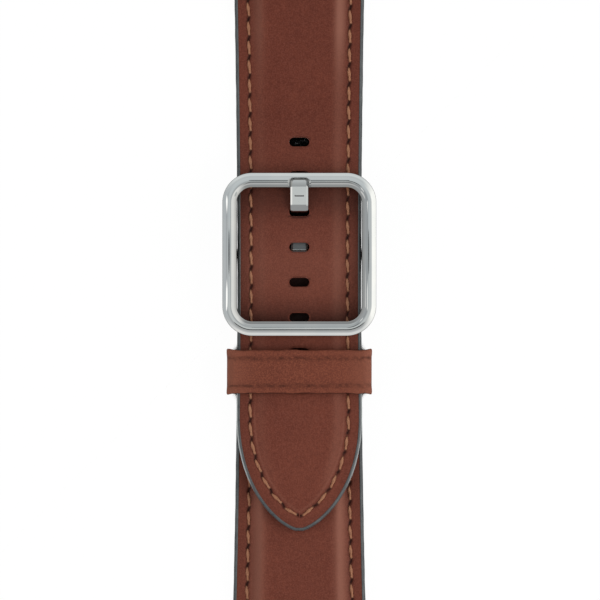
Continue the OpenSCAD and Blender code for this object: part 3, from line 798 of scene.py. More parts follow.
# Rows of (y, z, angle, half width, thickness, crown, flat or turned) round a bar and back under it
def loopRows(bar, z, bore, side):
    rows = []
    steps = 24
    for i in range(1, steps + 1):
        angle = 90 - side * 180 * i / steps
        turn = math.radians(angle)
        rows.append((bar + loopIn(bore) * math.cos(turn), z + loopIn(bore) * math.sin(turn), angle,
                     halfWidth(bar), loopThickness(bore), 0, False))
    for share in (0.15, 0.3, 0.45, 0.6, 0.75, 0.9, 0.985, 1.0):
        y = bar - side * strap["flap"] * share
        thin = 1.0 if share < 0.98 else 0.75
        rows.append((y, z - loopIn(bore), -90, halfWidth(y), loopThickness(bore) * thin, 0, False))
    return rows


def spread(a, b, gap):
    count = max(1, math.ceil(abs(b - a) / gap))
    return [a + (b - a) * i / count for i in range(count + 1)]


# The rows lie closer toward the tip
rowPlan = {"tail": 64, "inset": 0.12, "power": 1.7, "gap": 0.3}
longYs = [strap["tipY"] + rowPlan["inset"]
          + (strap["tailLength"] - rowPlan["inset"]) * (i / rowPlan["tail"]) ** rowPlan["power"]
          for i in range(rowPlan["tail"])]
longYs += spread(strap["tipY"] + strap["tailLength"], lugY, rowPlan["gap"])
shortYs = spread(-lugY, 0, rowPlan["gap"])


def prism(name, outline, low, high):
    return wrapGrid(name, [[(x, y, z) for x, y in outline] for z in (low, (low + high) / 2, high)])


# One cutter with the outlines of all the punched holes
def holeCutters():
    radius = punched["width"] / 2
    end = arcPoints(punched["length"] / 2 - radius, 0, radius, -90, 90, 16)
    outline = end + [(-x, y) for x, y in reversed(end)]
    cutters = []
    for number, place in enumerate(punchedYs, 1):
        longer = punched["peep"] if number == punched["peeping"] else 0.0
        shape = [(x, y + place + (longer if y > 0 else 0.0)) for x, y in outline]
        cutters.append(prism("cutter", shape, -15, 15))
        # The holes' walls are painted black, painted shade inside them
        markAll(cutters[-1], "mark", 1.0)
    return joinPieces("cutter", cutters)


def barCutter(y, z, radius, half=16):
    bpy.ops.object.select_all(action="DESELECT")
    bpy.ops.mesh.primitive_cylinder_add(vertices=64, radius=radius * mm, depth=2 * half * mm,
                                        location=(0, y * mm, z * mm), rotation=(0, math.pi / 2, 0))
    cutter = bpy.context.object
    bpy.ops.object.transform_apply(location=True, rotation=True, scale=True)
    return cutter


def boxCutter(low, high):
    bpy.ops.object.select_all(action="DESELECT")
    bpy.ops.mesh.primitive_cube_add(size=1)
    cutter = bpy.context.object
    size = [(b - a) * mm for a, b in zip(low, high)]
    middle = [(b + a) / 2 * mm for a, b in zip(low, high)]
    cutter.data.transform(Matrix.Translation(middle) @ Matrix.Diagonal(size + [1]))
    return cutter


# The room between the short piece's layers for the keeper's ends
def keeperPocket():
    gap = 0.03
    low, high = keeper["runZ"] - gap, keeper["runZ"] + keeper["run"] + gap
    return boxCutter((-14, strap["keeperLowY"] - gap, low), (14, strap["keeperTopY"] + gap, high))


def buildLongLeather():
    rows = [(y, longBase(y), 90, longHalfWidth(y), longThickness(y), longCrown(y), True) for y in longYs]
    rows += loopRows(lugY, strap["lugBarZ"], strap["lugBore"], 1)
    span = seamRuns["long"][:2]
    rings, marks = leatherRings(rows, needleHoles["long"], longSeamHalf, span, True)
    piece = wrapGrid("long_leather", rings, marks=marks)
    cutWith(piece, holeCutters())
    finishPiece(piece, 50, "leather", ["long_top_leather"], blend=longBend)


def buildShortLeather():
    rows = list(reversed(loopRows(-lugY, strap["lugBarZ"], strap["lugBore"], -1)))
    rows += [(y, shortBase(y), 90, halfWidth(y), shortThickness(y), lugCrown(y), True) for y in shortYs]
    rows += loopRows(0, strap["buckleBarZ"], strap["buckleBore"], 1)
    span = seamRuns["short"][:2]
    rings, marks = leatherRings(rows, needleHoles["short"], shortSeamHalf, span, False)
    piece = wrapGrid("short_leather", rings, marks=marks)
    slotHalf = tongueSlot["tongueWidth"] / 2 + tongueSlot["gap"]
    slot = boxCutter((-slotHalf, tongueSlot["lowY"], -1), (slotHalf, 9, 12))
    cutWith(piece, slot, keeperPocket())
    finishPiece(piece, 50, "leather", ["short_top_leather"], blend=shortBend)


liningColumns = [0.08, 0.4, 0.8, 1.2, 1.5, 1.65, 1.78, 1.9, 2.02, 2.14, 2.26, 2.4, 2.55, 2.8, 3.2, 4.2, 6, 8]


liningLook = {"foot": 0.08, "groove": 0.3, "grooveHalf": 0.3, "needle": 0.12}


# Linings: a flat layer with rounded lower edges, and a channel for the seam underneath
def liningRings(ys, halfAt, underAt, holes, seamHalfAt, span):
    rings, darks = [], []
    thick = strap["lining"]
    for y in ys:
        w, z = halfAt(y), underAt(y)
        close = nearestHoles(holes, y)
        k = w / fullWidth
        ring = [(-w, y, z + liningLook["foot"]), (-w, y, z + thick)]
        ring += [(s * w, y, z + thick) for s in (-0.7, -0.4, 0, 0.4, 0.7)]
        ring += [(w, y, z + thick), (w, y, z + liningLook["foot"])]
        dark = [0.0] * len(ring)
        columns = [d * k for d in liningColumns]
        for x in [w - d for d in columns] + [0] + [d - w for d in reversed(columns)]:
            # The needle holes in the lining are painted dark, painted shade
            mark = needleShare(close, x, y)
            groove = 0.0
            if span[0] < y < span[1]:
                off = (abs(x) - seamHalfAt(y)) / liningLook["grooveHalf"]
                groove = liningLook["groove"] * math.exp(-off ** 4)
            ring.append((x, y, z + groove + liningLook["needle"] * mark))
            dark.append(mark)
        rings.append(ring)
        darks.append(dark)
    return rings, {"mark": darks}


def buildLinings():
    end = lugY - strap["flap"] - 0.03
    ys = [y for y in longYs if y < end - 0.1] + [end]
    span = seamRuns["long"][:2]
    rings, marks = liningRings(ys, longHalfWidth, longUnder, needleHoles["long"], longSeamHalf, span)
    piece = wrapGrid("long_lining_leather", rings, marks=marks)
    cutWith(piece, holeCutters())
    finishPiece(piece, 50, "lining", ["long_lining"], blend=longBend)
    ys = spread(-end, -strap["flap"] - 0.03, 0.4)
    span = seamRuns["short"][:2]
    rings, marks = liningRings(ys, halfWidth, shortUnder, needleHoles["short"], shortSeamHalf, span)
    piece = wrapGrid("short_lining_leather", rings, marks=marks)
    cutWith(piece, keeperPocket())
    finishPiece(piece, 50, "lining", ["short_lining"], blend=shortBend)


# Edge coat

# The paint's section, out from the leather's side and down from its top, as parts of the height
coatLook = {
    "bar": 0.98,
    "shine": {"from": -24, "to": -38, "left": 1.0, "right": 0.6, "rows": {4: 0.35, 5: 0.8, 6: 0.9, 7: 0.4}},
    "section": ((-0.22, 0.02, 0), (-0.16, 0.06, 0), (-0.07, 0.065, 0), (0.05, 0.03, 0), (0.18, -0.07, 0),
                (0.28, -0.22, 0), (0.335, -0.42, 0), (0.35, 0, 0.5), (0.335, 0.4, 1), (0.26, 0.18, 1),
                (0.12, 0.04, 1), (0.02, 0.0, 1)),
}


# Where the light runs along the paint of the long piece's point
def coatShine(x, y, k):
    look = coatLook["shine"]
    along = ease(look["from"] + 1.5, look["from"], y) * ease(look["to"] - 4, look["to"], y)
    return look["rows"].get(k, 0) * along * (look["left"] if x < 0 else look["right"])


def coatRings(path, lowAt, highAt):
    rings = []
    for i, here in enumerate(path):
        before, after = path[max(0, i - 1)], path[min(len(path) - 1, i + 1)]
        across = Vector((after.y - before.y, before.x - after.x)).normalized()
        low, high = lowAt(here.y), highAt(here.y)
        room = min(1.0, (high - low) / 1.4)
        wave = 1 + 0.10 * noise.noise(Vector((here.x * 0.4, here.y * 0.5, 3)))
        ring = []
        for out, rise, share in coatLook["section"]:
            out = max(out, -0.8 * abs(here.x)) * (wave if out > 0 else 1)
            z = high + (low - high) * share + rise * room
            ring.append((here.x + across.x * out, here.y + across.y * out, z))
        rings.append(ring)
    return rings


noseRadius = strap["lugBore"] + strap["loop"]
beyondLug = spread(lugY, lugY + noseRadius - 0.04, 0.12)[1:]


# The heights of a paint's lower and upper edge, which close round the loop past the lug bar
def coatEdges(under, top):
    def heightAt(y, side, edge):
        if abs(y) <= lugY:
            return edge(y)
        return strap["lugBarZ"] + side * math.sqrt(max(0.0, noseRadius ** 2 - (abs(y) - lugY) ** 2))
    return lambda y: heightAt(y, -1, under), lambda y: heightAt(y, 1, top)


def buildCoats():
    ys = longYs + beyondLug
    path = [Vector((-longHalfWidth(min(y, lugY)), y)) for y in reversed(ys)]
    path += [Vector((longHalfWidth(min(y, lugY)), y)) for y in ys]
    shine = [[coatShine(place.x, place.y, k) for k in range(len(coatLook["section"]))] for place in path]
    rings = coatRings(path, *coatEdges(longUnder, longTop))
    piece = wrapGrid("long_edge_paint", rings, marks={"shine": shine})
    cutWith(piece, barCutter(lugY, strap["lugBarZ"], coatLook["bar"]))
    finishPiece(piece, 60, "edge_coat", ["long_edge_coat"], blend=longBend)
    ys = [-y for y in reversed(beyondLug)] + [y for y in shortYs if y < -2]
    sides = []
    for side in (-1, 1):
        path = [Vector((side * halfWidth(max(y, -lugY)), y)) for y in (ys if side > 0 else reversed(ys))]
        sides.append(wrapGrid("paint", coatRings(path, *coatEdges(shortUnder, shortTop))))
    piece = joinPieces("short_edge_paint", sides)
    cutWith(piece, barCutter(-lugY, strap["lugBarZ"], coatLook["bar"]), keeperPocket())
    finishPiece(piece, 60, "edge_coat", ["short_edge_coat"], blend=shortBend)


# Stitching

# A stitch is longer than the seam's by the extra, and swells and rises between its sunk ends
thread = {"extra": 0.06, "end": 0.10, "swell": 0.14, "rise": 0.15, "sunk": 0.13, "turns": 3.4,
          "underRise": 0.27}


# One stitch of two-ply thread, lying along Y with its ends going down into the leather
def stitchTemplate():
    rings, darks = [], []
    length = seams["stitch"] + thread["extra"]
    rows, around = 17, 12
    for i in range(rows):
        t = i / (rows - 1)
        bow = math.sin(math.pi * t)
        radius = thread["end"] + thread["swell"] * bow ** 0.42
        y = (t - 0.5) * length
        z = thread["rise"] * bow ** 0.55 - thread["sunk"]
        twist = t * thread["turns"] * math.pi
        ring = []
        for k in range(around):
            a = -2 * math.pi * k / around
            r = radius * (1 + 0.2 * math.cos(2 * a + twist))
            ring.append((1.05 * r * math.cos(a), y, z + 0.92 * r * math.sin(a)))
        rings.append(ring)
        # The stitch's ends are painted dark, painted shade where they go down into the leather
        darks.append([max(0.0, 1 - bow * 3.2)] * around)
    return wrapGrid("stitch", rings, marks={"mark": darks})


# Copies the stitch to every place of a seam, on the top or turned over underneath
def layStitches(name, key, topAt, underAt):
    template = stitchTemplate()
    mesh = bmesh.new()
    for n, (place, direction) in enumerate(stitches[key]):
        for below in (False, True):
            slope = topAt if not below else underAt
            rise = math.atan2(slope(place.y + 0.8) - slope(place.y - 0.8), 1.6) * abs(direction.y)
            lean = math.radians(seams["stitchLean"] + 1.6 * math.sin(n * 2.4))
            heading = math.atan2(direction.y, direction.x) - math.pi / 2 + lean
            height = topAt(place.y) if not below else underAt(place.y) + thread["underRise"]
            turn = Euler((rise, math.pi if below else 0, 0)).to_matrix().to_4x4()
            matrix = (Matrix.Translation((place.x * mm, place.y * mm, height * mm))
                      @ Matrix.Rotation(heading, 4, "Z") @ turn)
            copy = template.data.copy()
            copy.transform(matrix)
            mesh.from_mesh(copy)
            bpy.data.meshes.remove(copy)
    mesh.to_mesh(template.data)
    mesh.free()
    template.name = name
    template.data.name = name
    return template


def buildStitching():
    piece = layStitches("long_seam_thread", "long", longTop, longUnder)
    finishPiece(piece, 60, "thread", ["long_stitching"], blend=longBend)
    piece = layStitches("short_seam_thread", "short", shortTop, shortUnder)
    finishPiece(piece, 60, "thread", ["short_stitching"], blend=shortBend)


# Hidden layers

# The padding stands in from the edge, and spreads to it where the leather lifts toward the lug
filling = {"from": 30, "spreadFrom": 67.4, "spreadTo": 68.4, "to": 72.9, "inset": 3.0, "spread": 2.9,
           "room": 0.09, "liftRoom": 0.06, "least": 0.04, "columns": 24}


def paddingRing(y):
    w, lift = halfWidth(y), noseLift(y)
    crown = longCrown(y) if y > 0 else lugCrown(y)
    spreading = ease(filling["spreadFrom"], filling["spreadTo"], abs(y))
    half = w - filling["inset"] + filling["spread"] * spreading
    top = []
    for k in range(2 * filling["columns"] + 1):
        x = half * (k / filling["columns"] - 1)
        rise = max(0.0, crown * crownShare(w - abs(x), w) - filling["room"])
        top.append((x, y, layerZ + max(filling["least"], lift - filling["liftRoom"]) + rise))
    return top + [(half * s, y, layerZ) for s in (1, 0.5, 0, -0.5, -1)]


def buildPadding():
    for name, node, side, bend in (("long_filler", "long_padding", 1, longBend),
                                   ("short_filler", "short_padding", -1, shortBend)):
        ys = spread(filling["from"], filling["spreadFrom"], 0.8)
        ys += spread(filling["spreadFrom"] + 0.1, filling["to"], 0.3)
        piece = wrapGrid(name, [paddingRing(side * y) for y in ys])
        finishPiece(piece, 40, "filler", [node], blend=bend)


stay = {"fromTip": 15, "past": 2, "inset": 5, "columnGap": 0.6}


def buildTape():
    ys = [y for y in longYs if strap["tipY"] + stay["fromTip"] < y < strap["padStart"] + stay["past"]]
    w = halfWidth(0) - stay["inset"]
    columns = spread(-w, w, stay["columnGap"])
    rings = []
    for y in ys:
        z = longUnder(y) + layerZ
        rings.append([(x, y, z + strap["tape"]) for x in columns] + [(x, y, z) for x in reversed(columns)])
    piece = wrapGrid("hole_stay_tape", rings)
    cutWith(piece, holeCutters())
    finishPiece(piece, 40, "tape", ["hole_tape"], body="leather")


# Keeper

keeper = {"half": 11.42, "thick": 1.25, "runZ": 0.62, "run": 0.36, "inZ": 4.80, "crease": 1.42,
          "creaseDepth": 0.12, "flare": 0.12, "bow": 0.22, "waver": 0.2, "endFlare": 0.15,
          "outerCorners": (0.9, 1.6), "innerCorners": (0.3, 0.6), "edgeRound": 0.35, "edgeDrop": 0.26,
          "creaseHalf": 0.30, "creaseEnd": (11.0, 12.3), "swell": 0.04, "swellOut": 0.7,
          "swellHalf": 0.4, "flareHalf": 1.2, "flareFrom": (11.5, 12.6), "bowHalf": 12,
          "waverPitch": 0.45, "quickPitch": 1.7, "quickShare": 0.4, "endFrom": (11.6, 12.7)}
# How pale the keeper is all over, how much lighter its ends are painted, a painted light from the sides, and
# how dark in its creases and at its low edge
keeperTones = {"pull": 0.10, "endLight": 0.42, "endX": 12.7, "low": 0.8, "lowFrom": (0.16, 0.04),
              "lowHalf": 11.6, "crease": 0.62, "creaseHalf": 0.38, "speck": 0.45}


def keeperOutline(w, low, high, lowRadius, highRadius):
    def corner(x, z, radius, start):
        return arcPoints(x, z, radius, start, start + 90, 10)
    top = [(w - highRadius) * (1 - 2 * k / 40) for k in range(1, 40)]
    points = corner(w - lowRadius, low + lowRadius, lowRadius, -90)
    points += [(w, low + lowRadius + (high - highRadius - low - lowRadius) * k / 6) for k in range(1, 6)]
    points += corner(w - highRadius, high - highRadius, highRadius, 0)
    points += [(x, high) for x in top]
    points += corner(highRadius - w, high - highRadius, highRadius, 90)
    points += [(-w, high - highRadius - (high - highRadius - low - lowRadius) * k / 6) for k in range(1, 6)]
    points += corner(lowRadius - w, low + lowRadius, lowRadius, 180)
    bottom = [(lowRadius - w) * (1 - 2 * k / 20) for k in range(1, 20)]
    return points + [(x, low) for x in bottom]


def buildKeeper():
    look, tones = keeper, keeperTones
    outer = keeperOutline(look["half"] + look["thick"], look["runZ"], look["inZ"] + look["thick"],
                          *look["outerCorners"])
    inner = keeperOutline(look["half"], look["runZ"] + look["run"], look["inZ"], *look["innerCorners"])
    middleY = (strap["keeperTopY"] + strap["keeperLowY"]) / 2
    halfSpan = (strap["keeperTopY"] - strap["keeperLowY"]) / 2
    across = [-halfSpan, -halfSpan + 0.05, -halfSpan + 0.14, -halfSpan + 0.28]
    across += spread(-halfSpan + 0.45, halfSpan - 0.45, 0.16)
    across += [-v for v in reversed(across[:4])]
    rings, pulls, darks = [], [], []
    for (ox, oz), (ix, iz) in zip(outer, inner):
        out = Vector((ox - ix, oz - iz))
        thick = out.length
        out.normalize()
        onTop = oz > look["inZ"] + look["thick"] * 0.5
        raised = oz > look["runZ"] + look["run"] + 0.3
        ring, pull, dark = [], [], []
        for y in across:
            edge = halfSpan - abs(y)
            inward = max(0.0, look["edgeRound"] - edge) / look["edgeRound"]
            rounding = look["edgeDrop"] * (1 - math.sqrt(1 - min(1.0, inward) ** 2))
            crease = look["creaseDepth"] * math.exp(-((edge - look["crease"]) / look["creaseHalf"]) ** 2)
            crease *= 1 - ease(*look["creaseEnd"], abs(ox))
            beside = (edge - look["crease"] + look["swellOut"]) / look["swellHalf"]
            swell = look["swell"] * math.exp(-beside ** 2)
            offset = 0.0
            if raised:
                offset = -rounding - crease + swell
                flare = look["flare"] * max(0.0, 1 - edge / look["flareHalf"]) ** 2
                offset += flare * ease(*look["flareFrom"], abs(ox))
                offset += handWaves(ox, y, 5, 0.9)
            lift = look["bow"] * max(0.0, 1 - (ox / look["bowHalf"]) ** 2) if onTop else 0.0
            slow, quick = look["waverPitch"], look["quickPitch"]
            waver = noise.noise(Vector((ox * slow, 11 + (y > 0), iz * slow))) * look["waver"]
            waver += (noise.noise(Vector((ox * quick, 17 + (y > 0), iz * quick))) * look["waver"]
                      * look["quickShare"])
            flare = math.copysign(look["endFlare"], y) * ease(*look["endFrom"], abs(ox))
            shift = (waver + flare) * (1 - ease(0, 1.0, edge))
            ring.append((ix + out.x * (thick + offset), middleY + y + shift,
                         iz + out.y * (thick + offset) + lift))
            speck = tones["speck"] + noise.noise(Vector((ox * 1.6, y * 2.2, 31)))
            # The ends are painted lighter, painted light where they turn toward the side lights
            pull.append(tones["pull"] + tones["endLight"] * abs(ox / tones["endX"]) ** 5 if raised else 0.0)
            low = tones["low"] * ease(*tones["lowFrom"], edge) * (y < 0) * (abs(ox) < tones["lowHalf"])
            crease = tones["crease"] * speck * math.exp(-((edge - look["crease"]) / tones["creaseHalf"]) ** 2)
            dark.append(max(low, crease) if raised else 0.0)
        for y in (halfSpan, halfSpan / 2, 0, -halfSpan / 2, -halfSpan):
            lift = look["bow"] * 0.8 * max(0.0, 1 - (ix / look["bowHalf"]) ** 2) if onTop else 0.0
            ring.append((ix, middleY + y, iz + lift))
            pull.append(0.0)
            dark.append(0.0)
        rings.append(ring)
        pulls.append(pull)
        darks.append(dark)
    piece = wrapGrid("keeper_band", rings, closed=True, marks={"pull": pulls, "mark": darks})
    finishPiece(piece, 45, "leather", ["keeper"], body="leather", finish="keeper")


# Buckle

rim = {"length": 28.4, "width": 2.53, "height": 2.1, "corner": 5.2, "arch": 0.7, "outer": 26.9,
       "inner": 22.0, "z": 4.715, "seat": 0.85, "notchWidth": 4.05, "notchLength": 1.7, "notchCorner": 1.1,
       "notchMark": 0.56, "innerMark": 0.28, "wallMark": 0.9, "notchWall": 0.5, "lineAt": 0.12,
       "lineMark": 0.88, "crest": 1.25, "innerDrop": 0.62, "outerDrop": 0.28, "edge": 0.12,
       "lowReach": 1.009, "earRadius": 1.35, "ear": ((4, 0), (3.9, 0.6), (3.0, 1.6)), "neck": (1.75, 0.9),
       "pinBore": 0.45, "pinReach": 12.6, "bevel": 0.06, "bevelAngle": 55, "topY": 14, "topHalf": 9,
       "innerPower": 2.3, "innerSpacing": 1.25, "lineHalf": 0.04}


def archZ(y):
    return rim["arch"] * (1 - (2 * y / rim["length"]) ** 2)


# The rim's section, in from its outer edge and up: a smooth dome between two rounded edges
def rimSection():
    w, h, crest = rim["width"], rim["height"], rim["crest"]
    points = [(w - 0.35, 0), (w - 0.12, 0.03), (w - 0.03, 0.12), (w, 0.35), (w, h - 0.95)]
    for k in range(13):
        x = w - 0.02 - (w - 0.02 - crest) * (k / 13) ** rim["innerSpacing"]
        points.append((x, h - rim["innerDrop"] * ((x - crest) / (w - crest)) ** rim["innerPower"]))
    for k in range(12):
        x = crest - (crest - rim["edge"]) * k / 11
        points.append((x, h - rim["outerDrop"] * ((crest - x) / crest) ** 2))
    edgeZ = points[-1][1]
    for k in range(1, 7):
        turn = math.radians(90 * k / 6)
        points.append((rim["edge"] * (1 - math.sin(turn)),
                       edgeZ - rim["edge"] * 1.3 * (1 - math.cos(turn))))
    return points + [(0, h - 0.75), (0, 0.35), (0.03, 0.12), (0.12, 0.03), (0.35, 0)]


def rimPlaces():
    x, y, r = rim["outer"] / 2, rim["length"] / 2, rim["corner"]
    places = []
    for quarter in range(4):
        out, reach = (x, y - r) if quarter % 2 == 0 else (y, x - r)
        turn = math.radians(90 * quarter)
        local = [(out, -reach + 2 * reach * i / 24, 0) for i in range(24)]
        for i in range(28):
            bend = math.radians(90 * i / 28)
            local.append((out - r + r * math.cos(bend), reach + r * math.sin(bend), bend))
        for u, v, angle in local:
            x1 = u * math.cos(turn) - v * math.sin(turn)
            y1 = u * math.sin(turn) + v * math.cos(turn)
            places.append((x1, y1 * (rim["lowReach"] if y1 < 0 else 1), angle + turn))
    return places


# The ear comes down from the rim and rounds off under the bar's pin
def buildEar(side):
    z = strap["buckleBarZ"]
    top = rim["z"] + rim["arch"] + 0.5
    arc = arcPoints(0, z, rim["earRadius"], 205, 335, 16)
    right = [(y, top - drop) for y, drop in rim["ear"]] + [(rim["neck"][0], z + rim["neck"][1])]
    outline = [(-y, height) for y, height in right] + arc + right[::-1]
    x0, x1 = rim["inner"] / 2 + 0.05, rim["inner"] / 2 + rim["width"] - 0.45
    rings = []
    for x, inset in ((x0, 0.12), (x0 + 0.12, 0), (x1 - 0.3, 0), (x1 - 0.08, 0.1), (x1, 0.3)):
        ring = []
        for y, height in outline:
            pull = 0 if height > top - 0.1 else inset
            length = math.hypot(y, height - z) or 1
            ring.append((side * x, y * (1 - pull / length), z + (height - z) * (1 - pull / length)))
        rings.append(ring)
    return wrapGrid("ear", rings)


# Painted shade and painted reflection on the rim: its walls dark, a dark line along the top bar for the dark
# lens above reflected in it, and its inner slope a little darker for the strap reflected there
def rimMark(x, z, isTop):
    if z < rim["height"] - 1:
        return rim["wallMark"]
    if isTop and abs(x - rim["crest"] - rim["lineAt"]) < rim["lineHalf"]:
        return rim["lineMark"]
    return rim["innerMark"] * ease(0.0, 0.25, (x - rim["crest"]) / (rim["width"] - rim["crest"]))


# The notch's own faces are painted darker, painted shade in the notch, corner by corner, so that the mark
# stops at its edges
def markNotch(piece, seat, width, y):
    mesh = piece.data
    values = [0.0] * len(mesh.vertices)
    mesh.attributes["mark"].data.foreach_get("value", values)
    corners = [values[loop.vertex_index] for loop in mesh.loops]
    r = rim["notchCorner"]
    for face in mesh.polygons:
        at = face.center / mm
        out = math.hypot(max(0.0, abs(at.x) - width + r), max(0.0, at.y - y + r))
        if at.y < 11 or at.z < seat - 0.02 or abs(at.x) > width + 0.03 or out > r + 0.03:
            continue
        for corner in face.loop_indices:
            corners[corner] = rim["notchMark"] if face.normal.z > 0.8 else rim["notchWall"]
    mesh.attributes.remove(mesh.attributes["mark"])
    mesh.attributes.new("mark", "FLOAT", "CORNER").data.foreach_set("value", corners)


def buildFrame():
    rings = []
    section = rimSection()
    places = rimPlaces()
    for px, py, angle in places:
        ring = []
        for u, v in section:
            x, y = px - u * math.cos(angle), py - u * math.sin(angle)
            ring.append((x, y, rim["z"] + v + archZ(y)))
        rings.append(ring)
    marks = [[rimMark(u, v, py > rim["topY"] and abs(px) < rim["topHalf"]) for u, v in section]
             for px, py, angle in places]
    piece = wrapGrid("buckle_rim", rings, closed=True, marks={"mark": marks})
    for side in (-1, 1):
        cutWith(piece, buildEar(side), operation="UNION")
        cutWith(piece, barCutter(0, strap["buckleBarZ"], rim["pinBore"], rim["pinReach"]))
    w, r = rim["notchWidth"] / 2, rim["notchCorner"]
    y = rim["length"] / 2 - rim["width"] + rim["notchLength"]
    outline = [(w, y - 4)] + arcPoints(w - r, y - r, r, 0, 90, 10)
    outline += [(-px, py) for px, py in reversed(outline)]
    seat = rim["z"] + rim["seat"]
    cutWith(piece, prism("notch", outline, seat, seat + 6))
    applyModifier(piece, "BEVEL", width=rim["bevel"] * mm, segments=2, limit_method="ANGLE",
                  angle_limit=math.radians(rim["bevelAngle"]))
    # The bevel leaves a sliver open, which is closed here
    onlySelect(piece)
    bpy.ops.object.mode_set(mode="EDIT")
    bpy.ops.mesh.select_all(action="SELECT")
    bpy.ops.mesh.fill_holes(sides=8)
    bpy.ops.object.mode_set(mode="OBJECT")
    markNotch(piece, seat, w, y)
    finishPiece(piece, 35, "polished_steel", ["buckle_frame"], body="frame")


tongue = {"width": 3.14, "thick": 0.95, "riserY": 6.98, "riserWidth": 2.6, "bend": 0.3, "tip": 0.5,
          "endY": 13.25, "tipCorner": 0.78, "grooveY": 10.02, "grooveHalf": 0.8, "grooveDepth": 0.07,
          "grooveNear": 0.13, "grooveFar": 0.26, "grooveDark": 0.8, "barrel": 1.55, "facetLean": 35.0,
          "facetFrom": 8.58, "clear": 0.35, "noseCut": 0.2, "noseRound": 0.42, "noseCorner": 0.75,
          "rootHalf": 1.5, "rootRise": 0.9, "rootEnd": 3.1, "hiddenZ": 4.3, "neckTop": 4.55,
          "neckLow": 4.2, "sideBevel": 0.36, "sideDrop": 0.17, "rootMark": 0.78, "facetMark": 0.29,
          "noseMark": 0.93, "seatMark": 0.38}


# The tongue's two faces in side view, paired: under and up the riser's far side, and over. A
# slanted facet runs from the top of the arm down to the riser's near side.
def tongueRows():
    look, t, bend = tongue, tongue["thick"], tongue["bend"]
    low = strap["buckleBarZ"] - t / 2
    seat = rim["z"] + rim["seat"] + 0.03
    y0, armZ = look["riserY"], longTopAt(tongue["riserY"] + 1) + look["clear"]
    near = y0 + look["noseCut"]
    rows = []
    for y in spread(0.3, y0 - bend, 0.3):
        rise = look["rootRise"] * (1 - ease(look["rootEnd"] - 1.1, look["rootEnd"], y))
        rows.append(((y, low), (y, low + t + rise)))
    cy, cz = y0 - bend, low + t + bend
    for k in range(1, 13):
        a = math.radians(-90 + 90 * k / 12)
        inside = bend + (near - y0) * k / 12
        rows.append(((cy + (t + bend) * math.cos(a), cz + (t + bend) * math.sin(a)),
                     (cy + inside * math.cos(a), cz + bend * math.sin(a))))
    dy, dz = y0 + t + bend, armZ - bend
    rows += [((y0 + t, z), (near, z)) for z in spread(cz, dz, 0.3)[1:]]
    inner = strap["rimInnerY"]
    armRise = (seat - armZ) / (inner - dy)
    fall = math.tan(math.radians(look["facetLean"])) - armRise

    def topZ(y):
        return armZ + t + armRise * (y - dy) - fall * max(0.0, look["facetFrom"] - y)
    for k in range(1, 17):
        a = math.radians(180 - 90 * k / 16)
        y = near + (dy - near) * (k / 16) ** 1.5
        short = 1 - min(1.0, (y - near) / look["noseRound"])
        rows.append(((dy + bend * math.cos(a), dz + bend * math.sin(a)),
                     (y, dz + (topZ(y) - dz) * (1 - short * short))))
    stations = spread(dy, inner, 0.25)[1:] + [look["facetFrom"]]
    stations += [look["grooveY"] + step for step in (-0.14, -0.13, -0.01, 0, 0.02, 0.13, 0.24, 0.26)]
    for y in sorted(set(stations)):
        share = (y - dy) / (inner - dy)
        rows.append(((dy + (inner - 0.25 - dy) * share, armZ + (seat - armZ) * share), (y, topZ(y))))
    length = look["endY"] - inner
    for share in (0.03, 0.1, 0.25, 0.4, 0.55, 0.7, 0.8, 0.88, 0.94, 0.975, 1.0):
        drop = (t - look["tip"]) * share + 0.12 * (max(0.0, share - 0.9) / 0.1) ** 2
        rows.append(((inner - 0.25 + (length + 0.25) * share, seat),
                     (inner + length * share, seat + t - drop)))
    return rows


def tongueHalf(y, z):
    look = tongue
    narrow = look["riserWidth"] / 2
    if y < look["riserY"] - 0.2:
        share = ease(look["riserY"] - 0.9, look["riserY"] - 0.2, y)
        return look["rootHalf"] + (narrow - look["rootHalf"]) * share
    wide = narrow + (look["width"] / 2 - narrow) * ease(look["neckLow"], look["neckTop"], z)
    under = look["riserY"] + look["noseCut"] + look["noseCorner"] - y
    if under > 0 and z > look["neckTop"]:
        r = look["noseCorner"]
        wide -= 0.5 * (r - math.sqrt(max(0.0, r * r - under * under)))
    past = y - (look["endY"] - look["tipCorner"])
    if past > 0:
        r = look["tipCorner"]
        wide -= r - math.sqrt(max(0.0, r * r - past * past))
    return wide


def faceColumns():
    end, wide = tongue["grooveHalf"], tongue["width"] / 2 - tongue["sideBevel"] - 0.12
    inside = [end - 0.01 - (end - 0.01) * k / 5 for k in range(6)]
    half = [wide, (wide + end) / 2, end + 0.01] + inside
    return [-x for x in half] + half[-2::-1]


# How dark the tongue's face is painted, as painted shade and painted reflection: the root is dark, the facet
# darkens toward the leather, the seat's facet a little
def faceMark(y):
    look = tongue
    nose = look["riserY"] + look["noseCut"]
    if y > strap["rimInnerY"]:
        return look["seatMark"] * (1 - ease(strap["rimInnerY"], look["endY"], y)) + 0.02
    if y > look["facetFrom"]:
        return 0.0
    if y < look["rootEnd"]:
        return look["rootMark"]
    return look["facetMark"] + (look["noseMark"] - look["facetMark"]) * ease(nose + 0.35, nose - 0.1, y)


